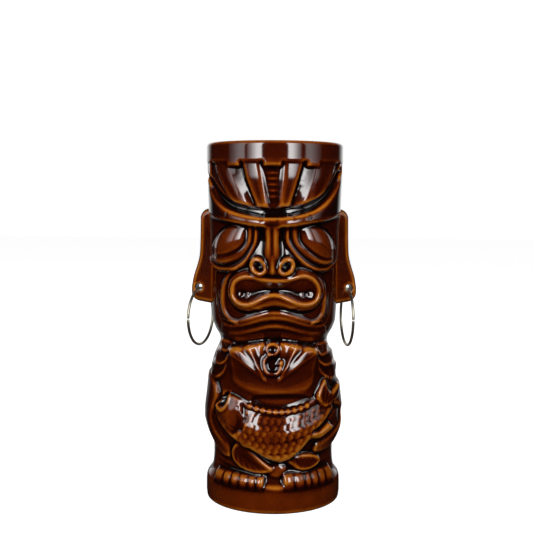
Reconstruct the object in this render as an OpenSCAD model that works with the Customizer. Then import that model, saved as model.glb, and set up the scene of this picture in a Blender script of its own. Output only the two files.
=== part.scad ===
// Glazed ceramic tiki mug with pierced ears and two wire hoop earrings.
// Frame: millimetres, +Z up, the figure faces -Y, origin at the centre of the foot.

/* [Mug] */
// Overall height of the mug
mug_h = 178; // [176:0.5:186]
// Outer radius of the rim
rim_r = 34; // [33.8:0.1:34.4]
// Wall thickness at the rim
lip_t = 3.6; // [3.2:0.1:4]
// Thickness of the floor of the cup
floor_t = 6; // [5:0.5:8]

/* [Relief] */
// How far the brow crescent stands forward of the head
brow_shift = 2.6; // [2:0.1:3.2]
// How far the headdress feathers stand out of the drum
feather_rise = 1.3; // [1:0.1:1.4]
// How far the lips stand out of the head
lip_rise = 2.2; // [1.6:0.1:3]
// How far the fish stands out of the body
fish_rise = 2.6; // [1.6:0.1:3]

/* [Ears] */
// Thickness of the ear slab
ear_t = 5.5; // [5:0.1:6]
// Angle that the ears sweep back
ear_sweep = 15; // [12:1:18]
// Radius of the pierced hole
hole_r = 2; // [1.9:0.05:2.2]
// Height of the pierced hole
hole_z = 106; // [105.5:0.5:106.5]

/* [Earrings] */
// Mean radius of the hoop
hoop_r = 14.3; // [13.8:0.1:14.6]
// Diameter of the hoop wire
wire_d = 1.4; // [1.2:0.05:1.5]
// Width of the butt gap in the hoop
hoop_gap = 0.5; // [0.3:0.1:1]
// Turn of the left hoop about the vertical, front outwards from the line of the hole
left_hoop_turn = 7; // [-8:1:8]
// Turn of the right hoop about the vertical, front outwards from the line of the hole
right_hoop_turn = -7; // [-8:1:8]

/* [Hidden] */
$fn = 48;

glaze_brown = [0.30, 0.12, 0.04];
glaze_ear = [0.36, 0.15, 0.05];
nickel = [0.75, 0.72, 0.64];

plinth_h = 13.5;      // top of the plinth that the feet stand on
band_z = 168.5;       // lower edge of the plain band under the rim
ear_root_x = 29;      // where the ear slab's middle plane meets the head
hole_x = 37.1;        // distance of the pierced hole from the mug's axis
skin_depth = 1.6;     // how far each relief reaches into the wall behind it
reach = 50;           // longer than any relief, for cuts and projections

// Height and outer radius of the plain body, from foot to rim.
body_radii = [
    [0, 33.2], [3, 33.7], [9, 33.7], [plinth_h, 33.2], [15, 30.6], [22, 29.8], [27, 29.8], [31, 30.8],
    [36, 32.4], [42, 33.4], [48, 33.2], [55, 32.2], [62, 31.4], [68, 31], [74, 29.4], [78, 27.4],
    [80.5, 26.6], [83, 27.4], [86, 29.4], [90, 30.9], [98, 31.4], [114, 31.2], [136, 31.4], [141, 31.8],
    [145, 32.7], [167, 32.7], [band_z, rim_r], [mug_h, rim_r]];

// Height and radius of the hollow, from its floor to the rim.
cup_radii = [
    [floor_t, 20], [floor_t + 2, 25], [12, 26.2], [27, 25.8], [42, 28.6], [55, 28], [68, 26.6],
    [75, 23.8], [80.5, 22.2], [87, 24.6], [95, 26.8], [136, 26.8], [145, 28.4], [152, rim_r - lip_t],
    [mug_h, rim_r - lip_t]];

function body_r(z) = lookup(z, body_radii);

// Turns a list of heights and radii into the points of a turned profile.
function profile(list) = [for (s = list) [s[1], s[0]]];

// Heights between low and high where the body's profile changes slope, with both ends.
function stations(low, high) =
    concat([low], [for (s = body_radii) if (s[0] > low + 0.2 && s[0] < high - 0.2) s[0]], [high]);

function reversed(list) = [for (i = [len(list) - 1:-1:0]) list[i]];

function mirrored(points) = [for (p = reversed(points)) [-p[0], p[1]]];

// Widens or narrows an outline about a middle point.
function resized(points, middle, factors) =
    [for (p = points) [for (i = [0:1]) middle[i] + (p[i] - middle[i]) * factors[i]]];

function curve_point(a, b, c, d, t) =
    0.5 * (2 * b + (c - a) * t + (2 * a - 5 * b + 4 * c - d) * t * t + (3 * b - a - 3 * c + d) * t * t * t);

// A closed smooth outline through the points.
function smooth_loop(p, steps = 3) =
    let (n = len(p))
    [for (i = [0:n - 1]) for (k = [0:steps - 1])
        curve_point(p[(i + n - 1) % n], p[i], p[(i + 1) % n], p[(i + 2) % n], k / steps)];

// An open smooth line through the points.
function smooth_line(p, steps = 3) =
    let (n = len(p))
    concat([for (i = [0:n - 2]) for (k = [0:steps - 1])
        curve_point(p[max(i - 1, 0)], p[i], p[i + 1], p[min(i + 2, n - 1)], k / steps)], [p[n - 1]]);

// The outline of a line drawn with a pen of that width.
function ribbon(line, width) =
    let (n = len(line),
         side = [for (i = [0:n - 1])
             let (d = line[min(i + 1, n - 1)] - line[max(i - 1, 0)])
             [-d[1], d[0]] / norm(d) * width / 2])
    concat([for (i = [0:n - 1]) line[i] + side[i]], reversed([for (i = [0:n - 1]) line[i] - side[i]]));

// A layer that follows the body's profile, from inside its skin to rise outside it.
module skin(rise, low, high) {
    z = stations(low, high);
    rotate_extrude()
        polygon(concat(
            [for (h = z) [body_r(h) + rise, h]],
            [for (h = reversed(z)) [body_r(h) - skin_depth, h]]));
}

// Raises a front-view outline out of the front half of the body.
module relief(rise, low, high) {
    intersection() {
        skin(rise, low, high);
        rotate([90, 0, 0]) linear_extrude(height = reach) children();
    }
}

// Stands a shape on the skin at front-view offset x, with its own Z pointing straight out.
module on_skin(x, z, rise = 0) {
    r = body_r(z);
    rotate([0, 0, asin(x / r)]) translate([0, -(r + rise), z]) rotate([90, 0, 0]) children();
}

module each_side() {
    children();
    mirror([1, 0, 0]) children();
}

// ---- the cast body ----

module outer_form() {
    lip = lip_t / 2;
    foot_round = 1.2;
    sides = [for (s = body_radii) if (s[0] > foot_round && s[0] < mug_h) s];
    rotate_extrude() {
        polygon(concat(
            [[0, 0], [body_r(0) - foot_round, 0], [body_r(foot_round), foot_round]],
            profile(sides),
            [[rim_r, mug_h - lip], [0, mug_h - lip]]));
        translate([rim_r - lip, mug_h - lip]) circle(r = lip);
    }
}

module cup_space() {
    above = mug_h + 1;
    rotate_extrude()
        polygon(concat([[0, floor_t]], profile(cup_radii), [[rim_r - lip_t, above], [0, above]]));
}

// ---- headdress ----

// A straight-sided layer on the drum under the plain band.
module drum_skin(rise, low, high) {
    inner_r = body_r(low) - skin_depth;
    outer_r = body_r(low) + rise;
    rotate_extrude()
        polygon([[inner_r, low], [outer_r, low], [outer_r, high], [inner_r, high]]);
}

// One feather: broad under the plain band, narrow above the brow, leaning to the nose.
module feather(angle, lean) {
    low = 146;
    intersection() {
        drum_skin(feather_rise, low, band_z);
        rotate([0, 0, angle]) rotate([90, 0, 0]) linear_extrude(height = reach)
            polygon([[-4.9, band_z], [4.9, band_z], [2.6 - lean, low], [-2.6 - lean, low]]);
    }
}

module feathers() {
    each_side() {
        feather(17, 2);
        feather(42, 5.5);
    }
    for (a = [75:30:285]) feather(a, 0);
}

// Short square tabs hang from the plain band between the feathers.
module band_tabs() {
    tab_half = 2.4;
    tab_z = 166;
    for (a = [-29.5, 0, 29.5]) rotate([0, 0, a])
        intersection() {
            drum_skin(feather_rise * 0.7, tab_z, band_z + 1);
            translate([-tab_half, -reach, tab_z]) cube([2 * tab_half, reach, band_z - tab_z + 1]);
        }
}

// A crescent: narrow over the nose, rising and widening to the temples.
module brow() {
    upper = [[-32.6, 163.5], [-29.6, 153], [-25, 147.6], [-18, 143.8], [-9, 142.2], [0, 142.2], [9, 142.6],
             [18, 145.2], [25, 150], [29.6, 156.5], [32.6, 165]];
    lower = [[32.6, 143.5], [26, 140.4], [15, 138.4], [6, 137], [-6, 137], [-15, 138.4], [-26, 140.4],
             [-32.6, 143.5]];
    crest = 0.9;
    translate([0, -brow_shift, 0])
        relief(crest, 134, 167) polygon(concat(smooth_line(upper, 2), smooth_line(lower, 2)));
}

// The headdress carries on round the back as a plain brim.
module brim() {
    intersection() {
        skin(1.2, 141.5, 147);
        translate([-reach, 0, 130]) cube([2 * reach, reach, 30]);
    }
}

// ---- face ----

face_x = -1;    // the face looks a little to its own right

module eyes() {
    eye_x = 19.6;
    eye_z = 129.6;
    tilt = 38;
    for (side = [-1, 1])
        on_skin(face_x + side * eye_x, eye_z, -1.4) rotate([0, 0, -side * tilt]) {
            scale([12.2, 8.6, 3]) sphere(r = 1);
            scale([8.6, 5, 4.2]) sphere(r = 1);
        }
}

module eye_bags() {
    bag = smooth_loop([[-6.6, 134.5], [-8, 128], [-12.6, 120.6], [-19, 117], [-28.2, 117.4], [-28.2, 122],
                       [-21, 120.4], [-15.2, 124.4], [-11.2, 130.6], [-10, 136]]);
    relief(1.4, 114, 138) translate([face_x, 0]) {
        polygon(bag);
        polygon(mirrored(bag));
    }
}

wing_x = 6.9;     // half the distance between the nostrils
wing_z = 119.3;

module nose() {
    bridge = [[-3, 137.5], [3, 137.5], [3.8, 130], [3, 123], [2.2, 115.5], [-2.2, 115.5], [-3, 123], [-3.8, 130]];
    relief(3.2, 114, 138) translate([face_x, 0]) polygon(bridge);
    for (side = [-1, 1])
        on_skin(face_x + side * (wing_x - 1), wing_z + 0.6, 0.2)
            rotate([0, 0, side * 35]) scale([4.2, 5.2, 3.2]) sphere(r = 1);
}

module nostrils() {
    for (side = [-1, 1])
        on_skin(face_x + side * wing_x, wing_z - 0.6, 1.8) cylinder(r = 1.4, h = 4);
}

mouth_middle = [0.5, 107];
mouth_line = smooth_loop([
    [-19, 106], [-18, 111], [-13.5, 114.2], [-6.5, 113.2], [0.5, 112.4], [7.5, 113.2], [14.5, 114.2], [19, 111],
    [20, 106], [18, 101.6], [14, 100.2], [8, 102.2], [0.5, 105.2], [-7, 102.2], [-13, 100.2], [-17, 101.6]]);
mouth_opening = resized(mouth_line, mouth_middle, [0.9, 0.66]);

module lips() {
    relief(lip_rise, 96, 118)
        difference() {
            polygon(resized(mouth_line, mouth_middle, [1.08, 1.2]));
            polygon(mouth_opening);
        }
}

// The open mouth is carved into the wall and stops short of the cup.
module mouth_hollow() {
    back_r = 29.3;
    intersection() {
        difference() {
            skin(1, 98, 116);
            cylinder(r = back_r, h = mug_h);
        }
        rotate([90, 0, 0]) linear_extrude(height = reach) polygon(mouth_opening);
    }
}

module teeth() {
    bite = [[-15.9, 105], [-7.5, 106.6], [0.5, 107.8], [8.5, 106.6], [16.9, 105]];
    relief(-0.2, 104, 110) polygon(ribbon(smooth_line(bite), 2));
}

module cheeks() {
    fold = ribbon(smooth_line([[-21.5, 114.5], [-24.6, 109], [-25, 102], [-22.4, 97], [-17, 94.8]]), 2.4);
    relief(1.2, 92, 117) {
        polygon(fold);
        polygon(mirrored(fold));
    }
}

// Three wavy folds, each narrower and flatter than the one above.
module chin() {
    for (fold = [0:2]) {
        middle_z = 93.4 - fold * 4.4;
        half = 24 - fold * 2.5;
        rise = 1.7 - fold * 0.4;
        wave = [for (k = [-6:6]) [mouth_middle[0] + k / 6 * half, middle_z + 3.4 * cos(k * 30)]];
        relief(rise, 78, 100) polygon(ribbon(wave, 2.8));
    }
}

// ---- chest ----

module collar() {
    outer_leaf = [[18.6, 78.5], [12.6, 81.5], [3.6, 64.8]];
    inner_leaf = [[11.4, 81.8], [5.4, 82.6], [2.6, 66], [3.2, 64.8]];
    for (side = [-1, 1]) {
        relief(1.5, 63, 83) translate([face_x, 0]) scale([side, 1, 1]) polygon(outer_leaf);
        relief(1, 63, 83) translate([face_x, 0]) scale([side, 1, 1]) polygon(inner_leaf);
    }
}

// A plain fish hook: an eye at the top, a straight shank and a barbed bend.
module pendant() {
    bend_r = 3.4;
    half_w = 0.7;
    eye_z = 80.2;
    bend_z = 72.4;
    relief(2.2, 65, 83.5) translate([face_x, 0]) {
        translate([-bend_r, eye_z]) difference() {
            circle(r = 1.8);
            circle(r = 0.7);
        }
        translate([-bend_r - half_w, bend_z]) square([2 * half_w, eye_z - bend_z - 1.2]);
        difference() {
            translate([0, bend_z]) circle(r = bend_r + half_w);
            translate([0, bend_z]) circle(r = bend_r - half_w);
            translate([-6, bend_z]) square([12, 6]);
        }
        translate([bend_r, bend_z - 0.1])
            polygon([[-half_w, 0], [half_w, 0], [half_w - 0.3, 2.8], [-half_w - 1.4, 1]]);
    }
}

// Three overlapping scallops step down and outwards on each shoulder.
module shoulder_scales() {
    for (side = [-1, 1]) for (k = [0:2])
        rotate([0, 0, side * (56 + 9 * k)])
            translate([0, -body_r(77 - 5.5 * k) + 2, 78.5 - 6 * k]) rotate([82, 0, 0])
                cylinder(r = 4.4, h = 3 - 0.3 * k);
}

module belly() {
    middle = [0.5, 59.5];
    paunch = [for (a = [0:15:345]) middle + [17.5 * cos(a), 7 * sin(a)]];
    relief(1.3, 51, 68) polygon(paunch);
}

// ---- arms and fish ----

module arms() {
    left_arm = [[-33, 62], [-29.6, 61], [-30.4, 52], [-30, 42], [-26, 34.4], [-22, 30.6], [-21, 26.6],
                [-24, 24.4], [-29, 29], [-34, 38], [-36, 50]];
    right_arm = [[34, 60], [31.4, 57], [31, 49], [27, 42], [22, 35], [19.4, 31.2], [19.8, 28.4],
                 [23.4, 28], [29, 31.6], [34, 39], [36, 50]];
    relief(1.8, 23, 63) {
        polygon(smooth_loop(left_arm));
        polygon(smooth_loop(right_arm));
    }
}

module fish_body() {
    outline = [[-26.4, 49.6], [-22, 56.8], [-15, 53.6], [-8, 50.6], [0, 48.8], [8, 48.8], [15, 51], [20, 55],
               [23, 55.6], [29, 49.4], [22, 41.6], [16, 34.6], [10, 28], [3, 25], [-5, 27.6], [-12, 31.6],
               [-20, 35.6], [-26, 41.4]];
    relief(fish_rise, 23, 59) polygon(smooth_loop(outline));
}

// The back fin is a row of small knobs along the fish's upper edge.
module fish_back_fin() {
    for (k = [0:8]) {
        x = -14.5 + 4.3 * k;
        on_skin(x, 50 + 0.0125 * (x - 3) * (x - 3), 1.4) sphere(r = 1.7);
    }
}

module fish_mouth() {
    on_skin(-24, 53, fish_rise - 1.2) rotate([0, 0, 35]) scale([1.7, 3, 1]) cylinder(r = 1, h = 4);
}

module fish_eye() {
    on_skin(-17, 50.6, fish_rise - 0.6) sphere(r = 1.5);
}

module fish_fins() {
    chest_fin = [[-15.6, 34.2], [-19.4, 30], [-18.6, 24], [-13, 20.4], [-5, 19.2], [-0.6, 21.4], [-6, 26.6]];
    belly_fin = [[6.8, 25.4], [10.4, 21.6], [15, 20.2], [19.4, 21.4], [22.4, 24.6], [17.6, 28], [11, 28.4]];
    tail = [[20.6, 55], [23.8, 63.6], [26.4, 58.4], [31, 60.2], [29.6, 53], [26, 51.4]];
    thumb = [[18.4, 37.6], [26.2, 42], [28.4, 39], [21.2, 34]];
    relief(1.9, 18, 36) polygon(smooth_loop(chest_fin));
    relief(1.9, 18, 30) polygon(smooth_loop(belly_fin));
    relief(2.3, 50, 65) polygon(tail);
    relief(3, 32, 44) polygon(thumb);
}

// ---- feet ----

module feet() {
    toe_count = 6;
    first_angle = 11.5;
    toe_angle = 8.4;
    toe_r = 2.25;
    toe_h = 3.4;
    for (side = [-1, 1]) for (k = [0:toe_count - 1])
        rotate([0, 0, side * (first_angle + toe_angle * k) + 1.5])
            translate([0, -30, plinth_h + toe_h - 0.6]) scale([toe_r, 2.8, toe_h]) sphere(r = 1);
    // The middle tongue fills the gap between the two feet.
    translate([1.5, -29.6, plinth_h + 5]) scale([4.6, 2.6, 3.4]) sphere(r = 1);
}

module mug_body() {
    color(glaze_brown)
        difference() {
            union() {
                difference() {
                    outer_form();
                    mouth_hollow();
                }
                feathers();
                band_tabs();
                brow();
                brim();
                eyes();
                eye_bags();
                nose();
                lips();
                teeth();
                cheeks();
                chin();
                collar();
                pendant();
                shoulder_scales();
                belly();
                arms();
                fish_body();
                fish_back_fin();
                fish_eye();
                fish_fins();
                feet();
            }
            cup_space();
            nostrils();
            fish_mouth();
        }
}

// ---- ears and earrings ----

// The ear in its own plane: first number outwards from the mug's axis, second number up.
ear_outline = concat(
    [[ear_root_x - 5, 97.4], [ear_root_x + 3, 97.8]],
    [for (a = [-80:16:0]) [37.1 + 4.9 * cos(a), 103.6 + 4.9 * sin(a)]],
    smooth_line([[42, 106], [41, 111.6], [39.2, 117], [37.9, 122], [37.5, 128], [37.4, 137]], 3),
    [for (a = [10:16:90]) [32.2 + 5.2 * cos(a), 140.6 + 5.2 * sin(a)]],
    [[ear_root_x - 5, 146]]);

// How far out in the ear's own plane the hole is drilled, so that it stands at hole_x.
hole_u = ear_root_x + (hole_x - ear_root_x) / cos(ear_sweep);

// Moves the right ear's own plane to where it stands: it turns about its root.
module at_ear() {
    translate([ear_root_x, 0, 0]) rotate([0, 0, ear_sweep]) translate([-ear_root_x, 0, 0]) children();
}

// The root is cut to the head and the headdress, so that they meet face to face.
module ear_seat() {
    z = stations(90, 160);
    rotate_extrude()
        polygon(concat([[0, z[0]]], [for (h = z) [body_r(h), h]], [[0, z[len(z) - 1]]]));
    brow();
    brim();
}

// The long shallow dish down the front of the ear.
module ear_dish() {
    dish_deep = 1.3;
    translate([34.3, -ear_t / 2, 124]) rotate([0, -3, 0]) scale([2.6, dish_deep, 16]) sphere(r = 1);
}

module ear() {
    color(glaze_ear)
        difference() {
            at_ear()
                difference() {
                    rotate([90, 0, 0]) linear_extrude(height = ear_t, center = true) polygon(ear_outline);
                    translate([hole_u, 0, hole_z]) rotate([90, 0, 0])
                        cylinder(r = hole_r, h = ear_t + 2, center = true);
                    ear_dish();
                }
            ear_seat();
        }
}

// A ring of wire lying flat, with its butt gap centred on the +X side.
module wire_ring() {
    gap_angle = hoop_gap / hoop_r * 180 / PI;
    rotate([0, 0, gap_angle / 2])
        rotate_extrude(angle = 360 - gap_angle) translate([hoop_r, 0]) circle(d = wire_d);
}

// A hoop hangs through the hole, with its butt gap half way down its front.
module hoop(turn) {
    play = 0.7;     // room left between the wire and the foot of the hole
    drop = hoop_r + hole_r - wire_d / 2 - play;
    color(nickel)
        at_ear() translate([hole_u, 0, hole_z - drop])
            rotate([0, 0, turn]) rotate([90, 0, -90]) wire_ring();
}

module right_ear() ear();
module left_ear() mirror([1, 0, 0]) ear();
module right_earring() hoop(right_hoop_turn);
module left_earring() mirror([1, 0, 0]) hoop(left_hoop_turn);

mug_body();
left_ear();
right_ear();
left_earring();
right_earring();
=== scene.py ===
"""The looks of a glazed ceramic tiki mug with two wire hoop earrings.

The mug is a turned form with its relief carved on as heights above it. Lengths in the carving
code are millimetres; Blender objects are in metres. The face looks along -Y.
"""

import math

import bpy
import numpy as np
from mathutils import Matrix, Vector


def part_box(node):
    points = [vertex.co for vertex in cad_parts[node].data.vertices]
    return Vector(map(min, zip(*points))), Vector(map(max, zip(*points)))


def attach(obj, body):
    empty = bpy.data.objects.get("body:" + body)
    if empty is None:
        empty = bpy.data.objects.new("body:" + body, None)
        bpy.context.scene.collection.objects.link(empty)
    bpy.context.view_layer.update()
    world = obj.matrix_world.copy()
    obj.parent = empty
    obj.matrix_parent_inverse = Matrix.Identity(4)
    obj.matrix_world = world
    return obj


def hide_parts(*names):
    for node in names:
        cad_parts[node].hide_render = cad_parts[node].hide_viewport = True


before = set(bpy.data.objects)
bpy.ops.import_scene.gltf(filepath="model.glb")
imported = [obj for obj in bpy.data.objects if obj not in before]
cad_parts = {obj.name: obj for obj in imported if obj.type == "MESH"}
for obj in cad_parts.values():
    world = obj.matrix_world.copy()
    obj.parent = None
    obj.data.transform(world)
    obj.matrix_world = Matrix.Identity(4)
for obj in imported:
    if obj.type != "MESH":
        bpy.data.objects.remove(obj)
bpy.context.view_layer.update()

MM = 0.001

# ---- turned form

MUG_H = 178.0
RIM_R = 34.0
BAND_Z = 168.5
ARC_R = 32.0       # radius at which an angle round the mug is measured as a width
ROUND = 2 * math.pi * ARC_R
CORNER_EASE = 0.6
MEAN_RELIEF = 1.0  # how far the drawn lines stand off the turned form, on average

# Height and radius of the turned form that the relief is carved on, in mm.
FORM = [(0, 33.2), (3, 33.7), (9, 33.7), (12.2, 33.4), (13.8, 32.2), (15, 30.9), (18, 30.2), (22, 29.9),
        (27, 29.9), (31, 30.8), (36, 32.4), (42, 33.3), (48, 33.2), (55, 32.3), (62, 31.6), (68, 31.2),
        (74, 29.4), (78, 27.4), (80.5, 26.6), (83, 27.4), (86, 29.3), (90, 30.9), (98, 31.4), (114, 31.2),
        (136, 31.4), (141, 31.8), (147, 32.0), (154, 32.35), (160, 32.7), (MUG_H, 32.7)]
FORM_Z = np.array([p[0] for p in FORM], float)
FORM_R = np.array([p[1] for p in FORM], float)


def form_radius(z):
    """Radius of the turned form, its corners eased over a few millimetres."""
    ease = (-2.0, -1.0, 0.0, 1.0, 2.0)
    return sum(np.interp(z + e * CORNER_EASE, FORM_Z, FORM_R) for e in ease) / len(ease)


# ---- drawing on the form

def spline(points, closed=False, steps=6):
    """A smooth line through given points of the front view."""
    p = np.array(points, float)
    n = len(p)
    out = []
    for i in range(n if closed else n - 1):
        a, b, c, d = (p[(i + k) % n] if closed else p[min(max(i + k, 0), n - 1)] for k in (-1, 0, 1, 2))
        for t in np.arange(steps) / steps:
            out.append(0.5 * (2 * b + (c - a) * t + (2 * a - 5 * b + 4 * c - d) * t * t
                              + (3 * b - a - 3 * c + d) * t ** 3))
    out.append(p[0] if closed else p[-1])
    return np.array(out)


def moved(points, dx=0, dz=0, widen=1):
    """The points shifted, and spread from the middle where widen says so."""
    return [(x * widen + dx, z + dz) for x, z in points]


def oval(centre, across, along, tilt=0, count=16):
    """Points round an oval that leans by tilt degrees."""
    turn = math.radians(tilt)
    points = []
    for a in np.linspace(0, 2 * math.pi, count, False):
        u, v = across * math.cos(a), along * math.sin(a)
        points.append((centre[0] + u * math.cos(turn) - v * math.sin(turn),
                       centre[1] + u * math.sin(turn) + v * math.cos(turn)))
    return points


def wrap(line):
    """Front-view points laid round the form: x becomes a width measured along the surface."""
    line = np.asarray(line, float)
    sine = np.clip(line[:, 0] / (form_radius(line[:, 1]) + MEAN_RELIEF), -0.995, 0.995)
    return np.stack([ARC_R * np.arcsin(sine), line[:, 1]], 1)


def rounded(u):
    """A quarter-round edge: 0 at the outline, 1 where the flat begins."""
    u = np.clip(u, 0, 1)
    return np.sqrt(u * (2 - u))


def ramped(u):
    """A straight slope with its ends only slightly rounded."""
    u = np.clip(u, 0, 1)
    return 0.7 * u + 0.3 * u * u * (3 - 2 * u)


def eased(u):
    u = np.clip(u, 0, 1)
    return u * u * (3 - 2 * u)


class Relief:
    """Heights above the turned form, in mm, on an even raster of width round the mug and height."""

    def __init__(self, step):
        self.step = step
        columns = int(round(ROUND / step))
        self.s = (np.arange(columns) / columns - 0.5) * ROUND
        self.z = np.arange(int(round(MUG_H / step)) + 1) * MUG_H / round(MUG_H / step)
        self.height = np.zeros((len(self.z), len(self.s)))
        # The tone is extra depth of glaze, and in some pits, creases and under overhangs it is painted shade.
        self.tone = np.zeros_like(self.height)      # extra depth of glaze

    def window(self, line, margin):
        """The part of the raster round a line, as slices and its own coordinates."""
        (s0, z0), (s1, z1) = line.min(0) - margin, line.max(0) + margin
        c = slice(np.searchsorted(self.s, s0), np.searchsorted(self.s, s1))
        r = slice(np.searchsorted(self.z, z0), np.searchsorted(self.z, z1))
        s, z = np.meshgrid(self.s[c], self.z[r])
        return (r, c), s, z

    @staticmethod
    def distance(line, s, z):
        """Distance to the line, and how far along it the nearest point is, from 0 to 1."""
        best = np.full(s.shape, 1e9)
        along = np.zeros(s.shape)
        n = len(line) - 1
        for i in range(n):
            a, d = line[i], line[i + 1] - line[i]
            t = np.clip(((s - a[0]) * d[0] + (z - a[1]) * d[1]) / max(d @ d, 1e-9), 0, 1)
            gap = np.hypot(s - a[0] - t * d[0], z - a[1] - t * d[1])
            near = gap < best
            best = np.where(near, gap, best)
            along = np.where(near, (i + t) / n, along)
        return best, along

    @staticmethod
    def inside(line, s, z):
        """Whether each place is inside: a line out from it crosses the outline an odd number of times."""
        odd = np.zeros(s.shape, bool)
        for a, b in zip(line, np.roll(line, -1, 0)):
            crosses = (a[1] > z) != (b[1] > z)
            rise = b[1] - a[1] if b[1] != a[1] else 1e-9
            odd ^= crosses & (s < (b[0] - a[0]) * (z - a[1]) / rise + a[0])
        return odd

    def depth_in(self, outline, s, z):
        """Distance inside a closed outline, negative outside it."""
        gap, _ = self.distance(np.vstack([outline, outline[:1]]), s, z)
        return np.where(self.inside(outline, s, z), gap, -gap)

    def band(self, points, width, closed, smooth, thin):
        """The raster round a line: how wide it is there, and how far out to its edge each place is."""
        line = wrap(spline(points, closed) if smooth else points)
        at, s, z = self.window(line, width)
        gap, along = self.distance(line, s, z)
        size = np.interp(along, (0, 0.5, 1), thin)
        return at, size, gap / (width / 2 * size)

    def patch(self, points, smooth=True):
        """The raster round a closed outline, and the depth inside it."""
        line = wrap(spline(points, True) if smooth else points)
        at, s, z = self.window(line, 0.5)
        return at, s, z, self.depth_in(line[:-1] if smooth else line, s, z)

    def ridge(self, points, width, height, closed=False, smooth=True, thin=(1.0, 1.0, 1.0)):
        """A rounded ridge along a line, or a groove where height is negative.

        thin scales it at its start, middle and end.
        """
        at, size, out = self.band(points, width, closed, smooth, thin)
        u = np.clip(out, 0, 1)
        self.height[at] += height * size * (1 - u * u) ** 2

    def trench(self, points, width, height, thin):
        """Brings a band along a line to one height, blending smoothly into what is beside it."""
        at, _, out = self.band(points, width, False, True, thin)
        self.height[at] += (height - self.height[at]) * eased(1.5 * (1 - out))

    def level(self, points, height, edge, smooth=True, crown=0.0, shape=rounded):
        """Brings the inside of an outline to one height, with rounded edges and an optional crown."""
        at, _, _, depth = self.patch(points, smooth)
        dome = crown * eased(depth / max(depth.max(), 1e-6))
        self.height[at] += (height + dome - self.height[at]) * shape(depth / edge)

    def incline(self, outer, inner, outer_height, inner_height):
        """A floor between two rising edges that slopes evenly from the one down to the other."""
        outer, inner = wrap(outer[::-1]), wrap(inner[::-1])
        at, s, z = self.window(np.vstack([outer, inner]), 0.2)
        start, end = (np.interp(z, edge[:, 1], edge[:, 0]) for edge in (outer, inner))
        across = (s - start) / (end - start)
        slope = outer_height + (inner_height - outer_height) * across
        between = (across > 0) & (across < 1) & (z < outer[-1, 1]) & (z > outer[0, 1])
        self.height[at] = np.where(between, slope * eased((z - outer[0, 1]) / 2), self.height[at])

    def lift(self, points, amount, edge, smooth=True):
        """Raises the inside of an outline by one amount, or sinks it, keeping what is there."""
        at, _, _, depth = self.patch(points, smooth)
        self.height[at] += amount * eased(depth / edge)

    def raise_to(self, points, height, edge, smooth=True, crown=0.0):
        """As level, but only where that is higher than what is there."""
        at, _, _, depth = self.patch(points, smooth)
        dome = crown * eased(depth / max(depth.max(), 1e-6))
        ground = self.height[at]
        target = ground + (height + dome - ground) * rounded(depth / edge)
        self.height[at] = np.maximum(ground, np.where(depth > 0, target, ground))

    def dome(self, centre, axes, tilt, height, power=1.0):
        """An oval bump standing on what is there, or an oval pit where height is negative."""
        middle = wrap([centre])[0]
        at, s, z = self.window(middle[None], max(axes))
        ca, sa = math.cos(math.radians(tilt)), math.sin(math.radians(tilt))
        u = ((s - middle[0]) * ca + (z - middle[1]) * sa) / axes[0]
        v = (-(s - middle[0]) * sa + (z - middle[1]) * ca) / axes[1]
        bump = np.clip(1 - u * u - v * v, 0, 1) ** (0.5 * power)
        self.height[at] += height * bump

    def shade(self, points, amount, edge, smooth=True):
        """Lays the glaze thicker inside an outline, or thinner where the amount is negative. Where a call
        darkens a pit, a crease or the ground under an overhang, it paints shade.
        """
        at, _, _, depth = self.patch(points, smooth)
        self.tone[at] += amount * eased(depth / edge)


def blurred(field, sigma):
    """A gaussian blur, joined up round the mug and held at its top and bottom."""
    reach = int(math.ceil(3 * sigma))
    weights = np.exp(-0.5 * (np.arange(-reach, reach + 1) / sigma) ** 2)
    weights /= weights.sum()
    padded = np.pad(field, ((reach, reach), (0, 0)), mode="edge")
    tall = sum(w * padded[k:k + field.shape[0]] for k, w in enumerate(weights))
    padded = np.pad(tall, ((0, 0), (reach, reach)), mode="wrap")
    return sum(w * padded[:, k:k + field.shape[1]] for k, w in enumerate(weights))


# ---- headdress

FEATHER_Z = 146.0    # where the feathers stand on the brow
# Outlines of the feathers at the front: down the outer side, then up the inner one, or the other way round.
FEATHERS = [
    [(-16.4, 169), (-14.2, 160), (-11, 152), (-8.5, 146), (-2.9, 145), (-4.2, 152), (-6, 161), (-7.8, 169)],
    [(3.8, 169), (3.2, 161), (2.2, 152), (1.6, 145), (7, 146), (8.8, 152), (11.3, 160), (13.9, 169)],
    [(-30, 169), (-27.2, 160), (-23, 152), (-19, 147.5), (-12.6, 146.5), (-16, 152), (-20.6, 160),
     (-24.2, 169)],
    [(20.4, 169), (18.6, 160), (15.4, 152), (12.6, 146.5), (18.6, 147.5), (23, 152), (27, 160), (30.2, 169)],
]
# The outer and the inner edge of the floor between two feathers, on each side.
FLOORS = [
    ([(-24.6, 169), (-20.8, 160), (-16, 152), (-12.4, 146)],
     [(-16, 169), (-13.8, 160), (-10.8, 152), (-8.3, 146)]),
    ([(20.8, 169), (18.8, 160), (15.6, 152), (12.4, 146)],
     [(13.5, 169), (10.9, 160), (8.5, 152), (6.8, 146)]),
]
TABS = [(-6.6, 3.8), (-23.6, -16.2), (14.2, 21.8)]    # the band's tabs, from one side to the other
TAB_Z = 165.9


def carve_back_feathers(r):
    """Evenly spaced feathers round the sides and back, wider towards the band."""
    rows = (r.z > FEATHER_Z) & (r.z < BAND_Z + 1)
    up = r.z[rows][:, None] - FEATHER_Z
    for middle in np.radians(np.arange(75, 286, 30)):
        turn = (r.s / ARC_R - middle + math.pi) % (2 * math.pi) - math.pi
        half = 2.6 + up / (BAND_Z - FEATHER_Z) * 2.5
        depth = half - np.abs(turn[None] * 33)
        share = eased((depth + 0.4) / 2.4) * eased(up / 1.5)
        trough = 1.25 - 0.3 * eased((depth - 1) / 2.5)
        r.height[rows] = np.maximum(r.height[rows], trough * share)


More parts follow.
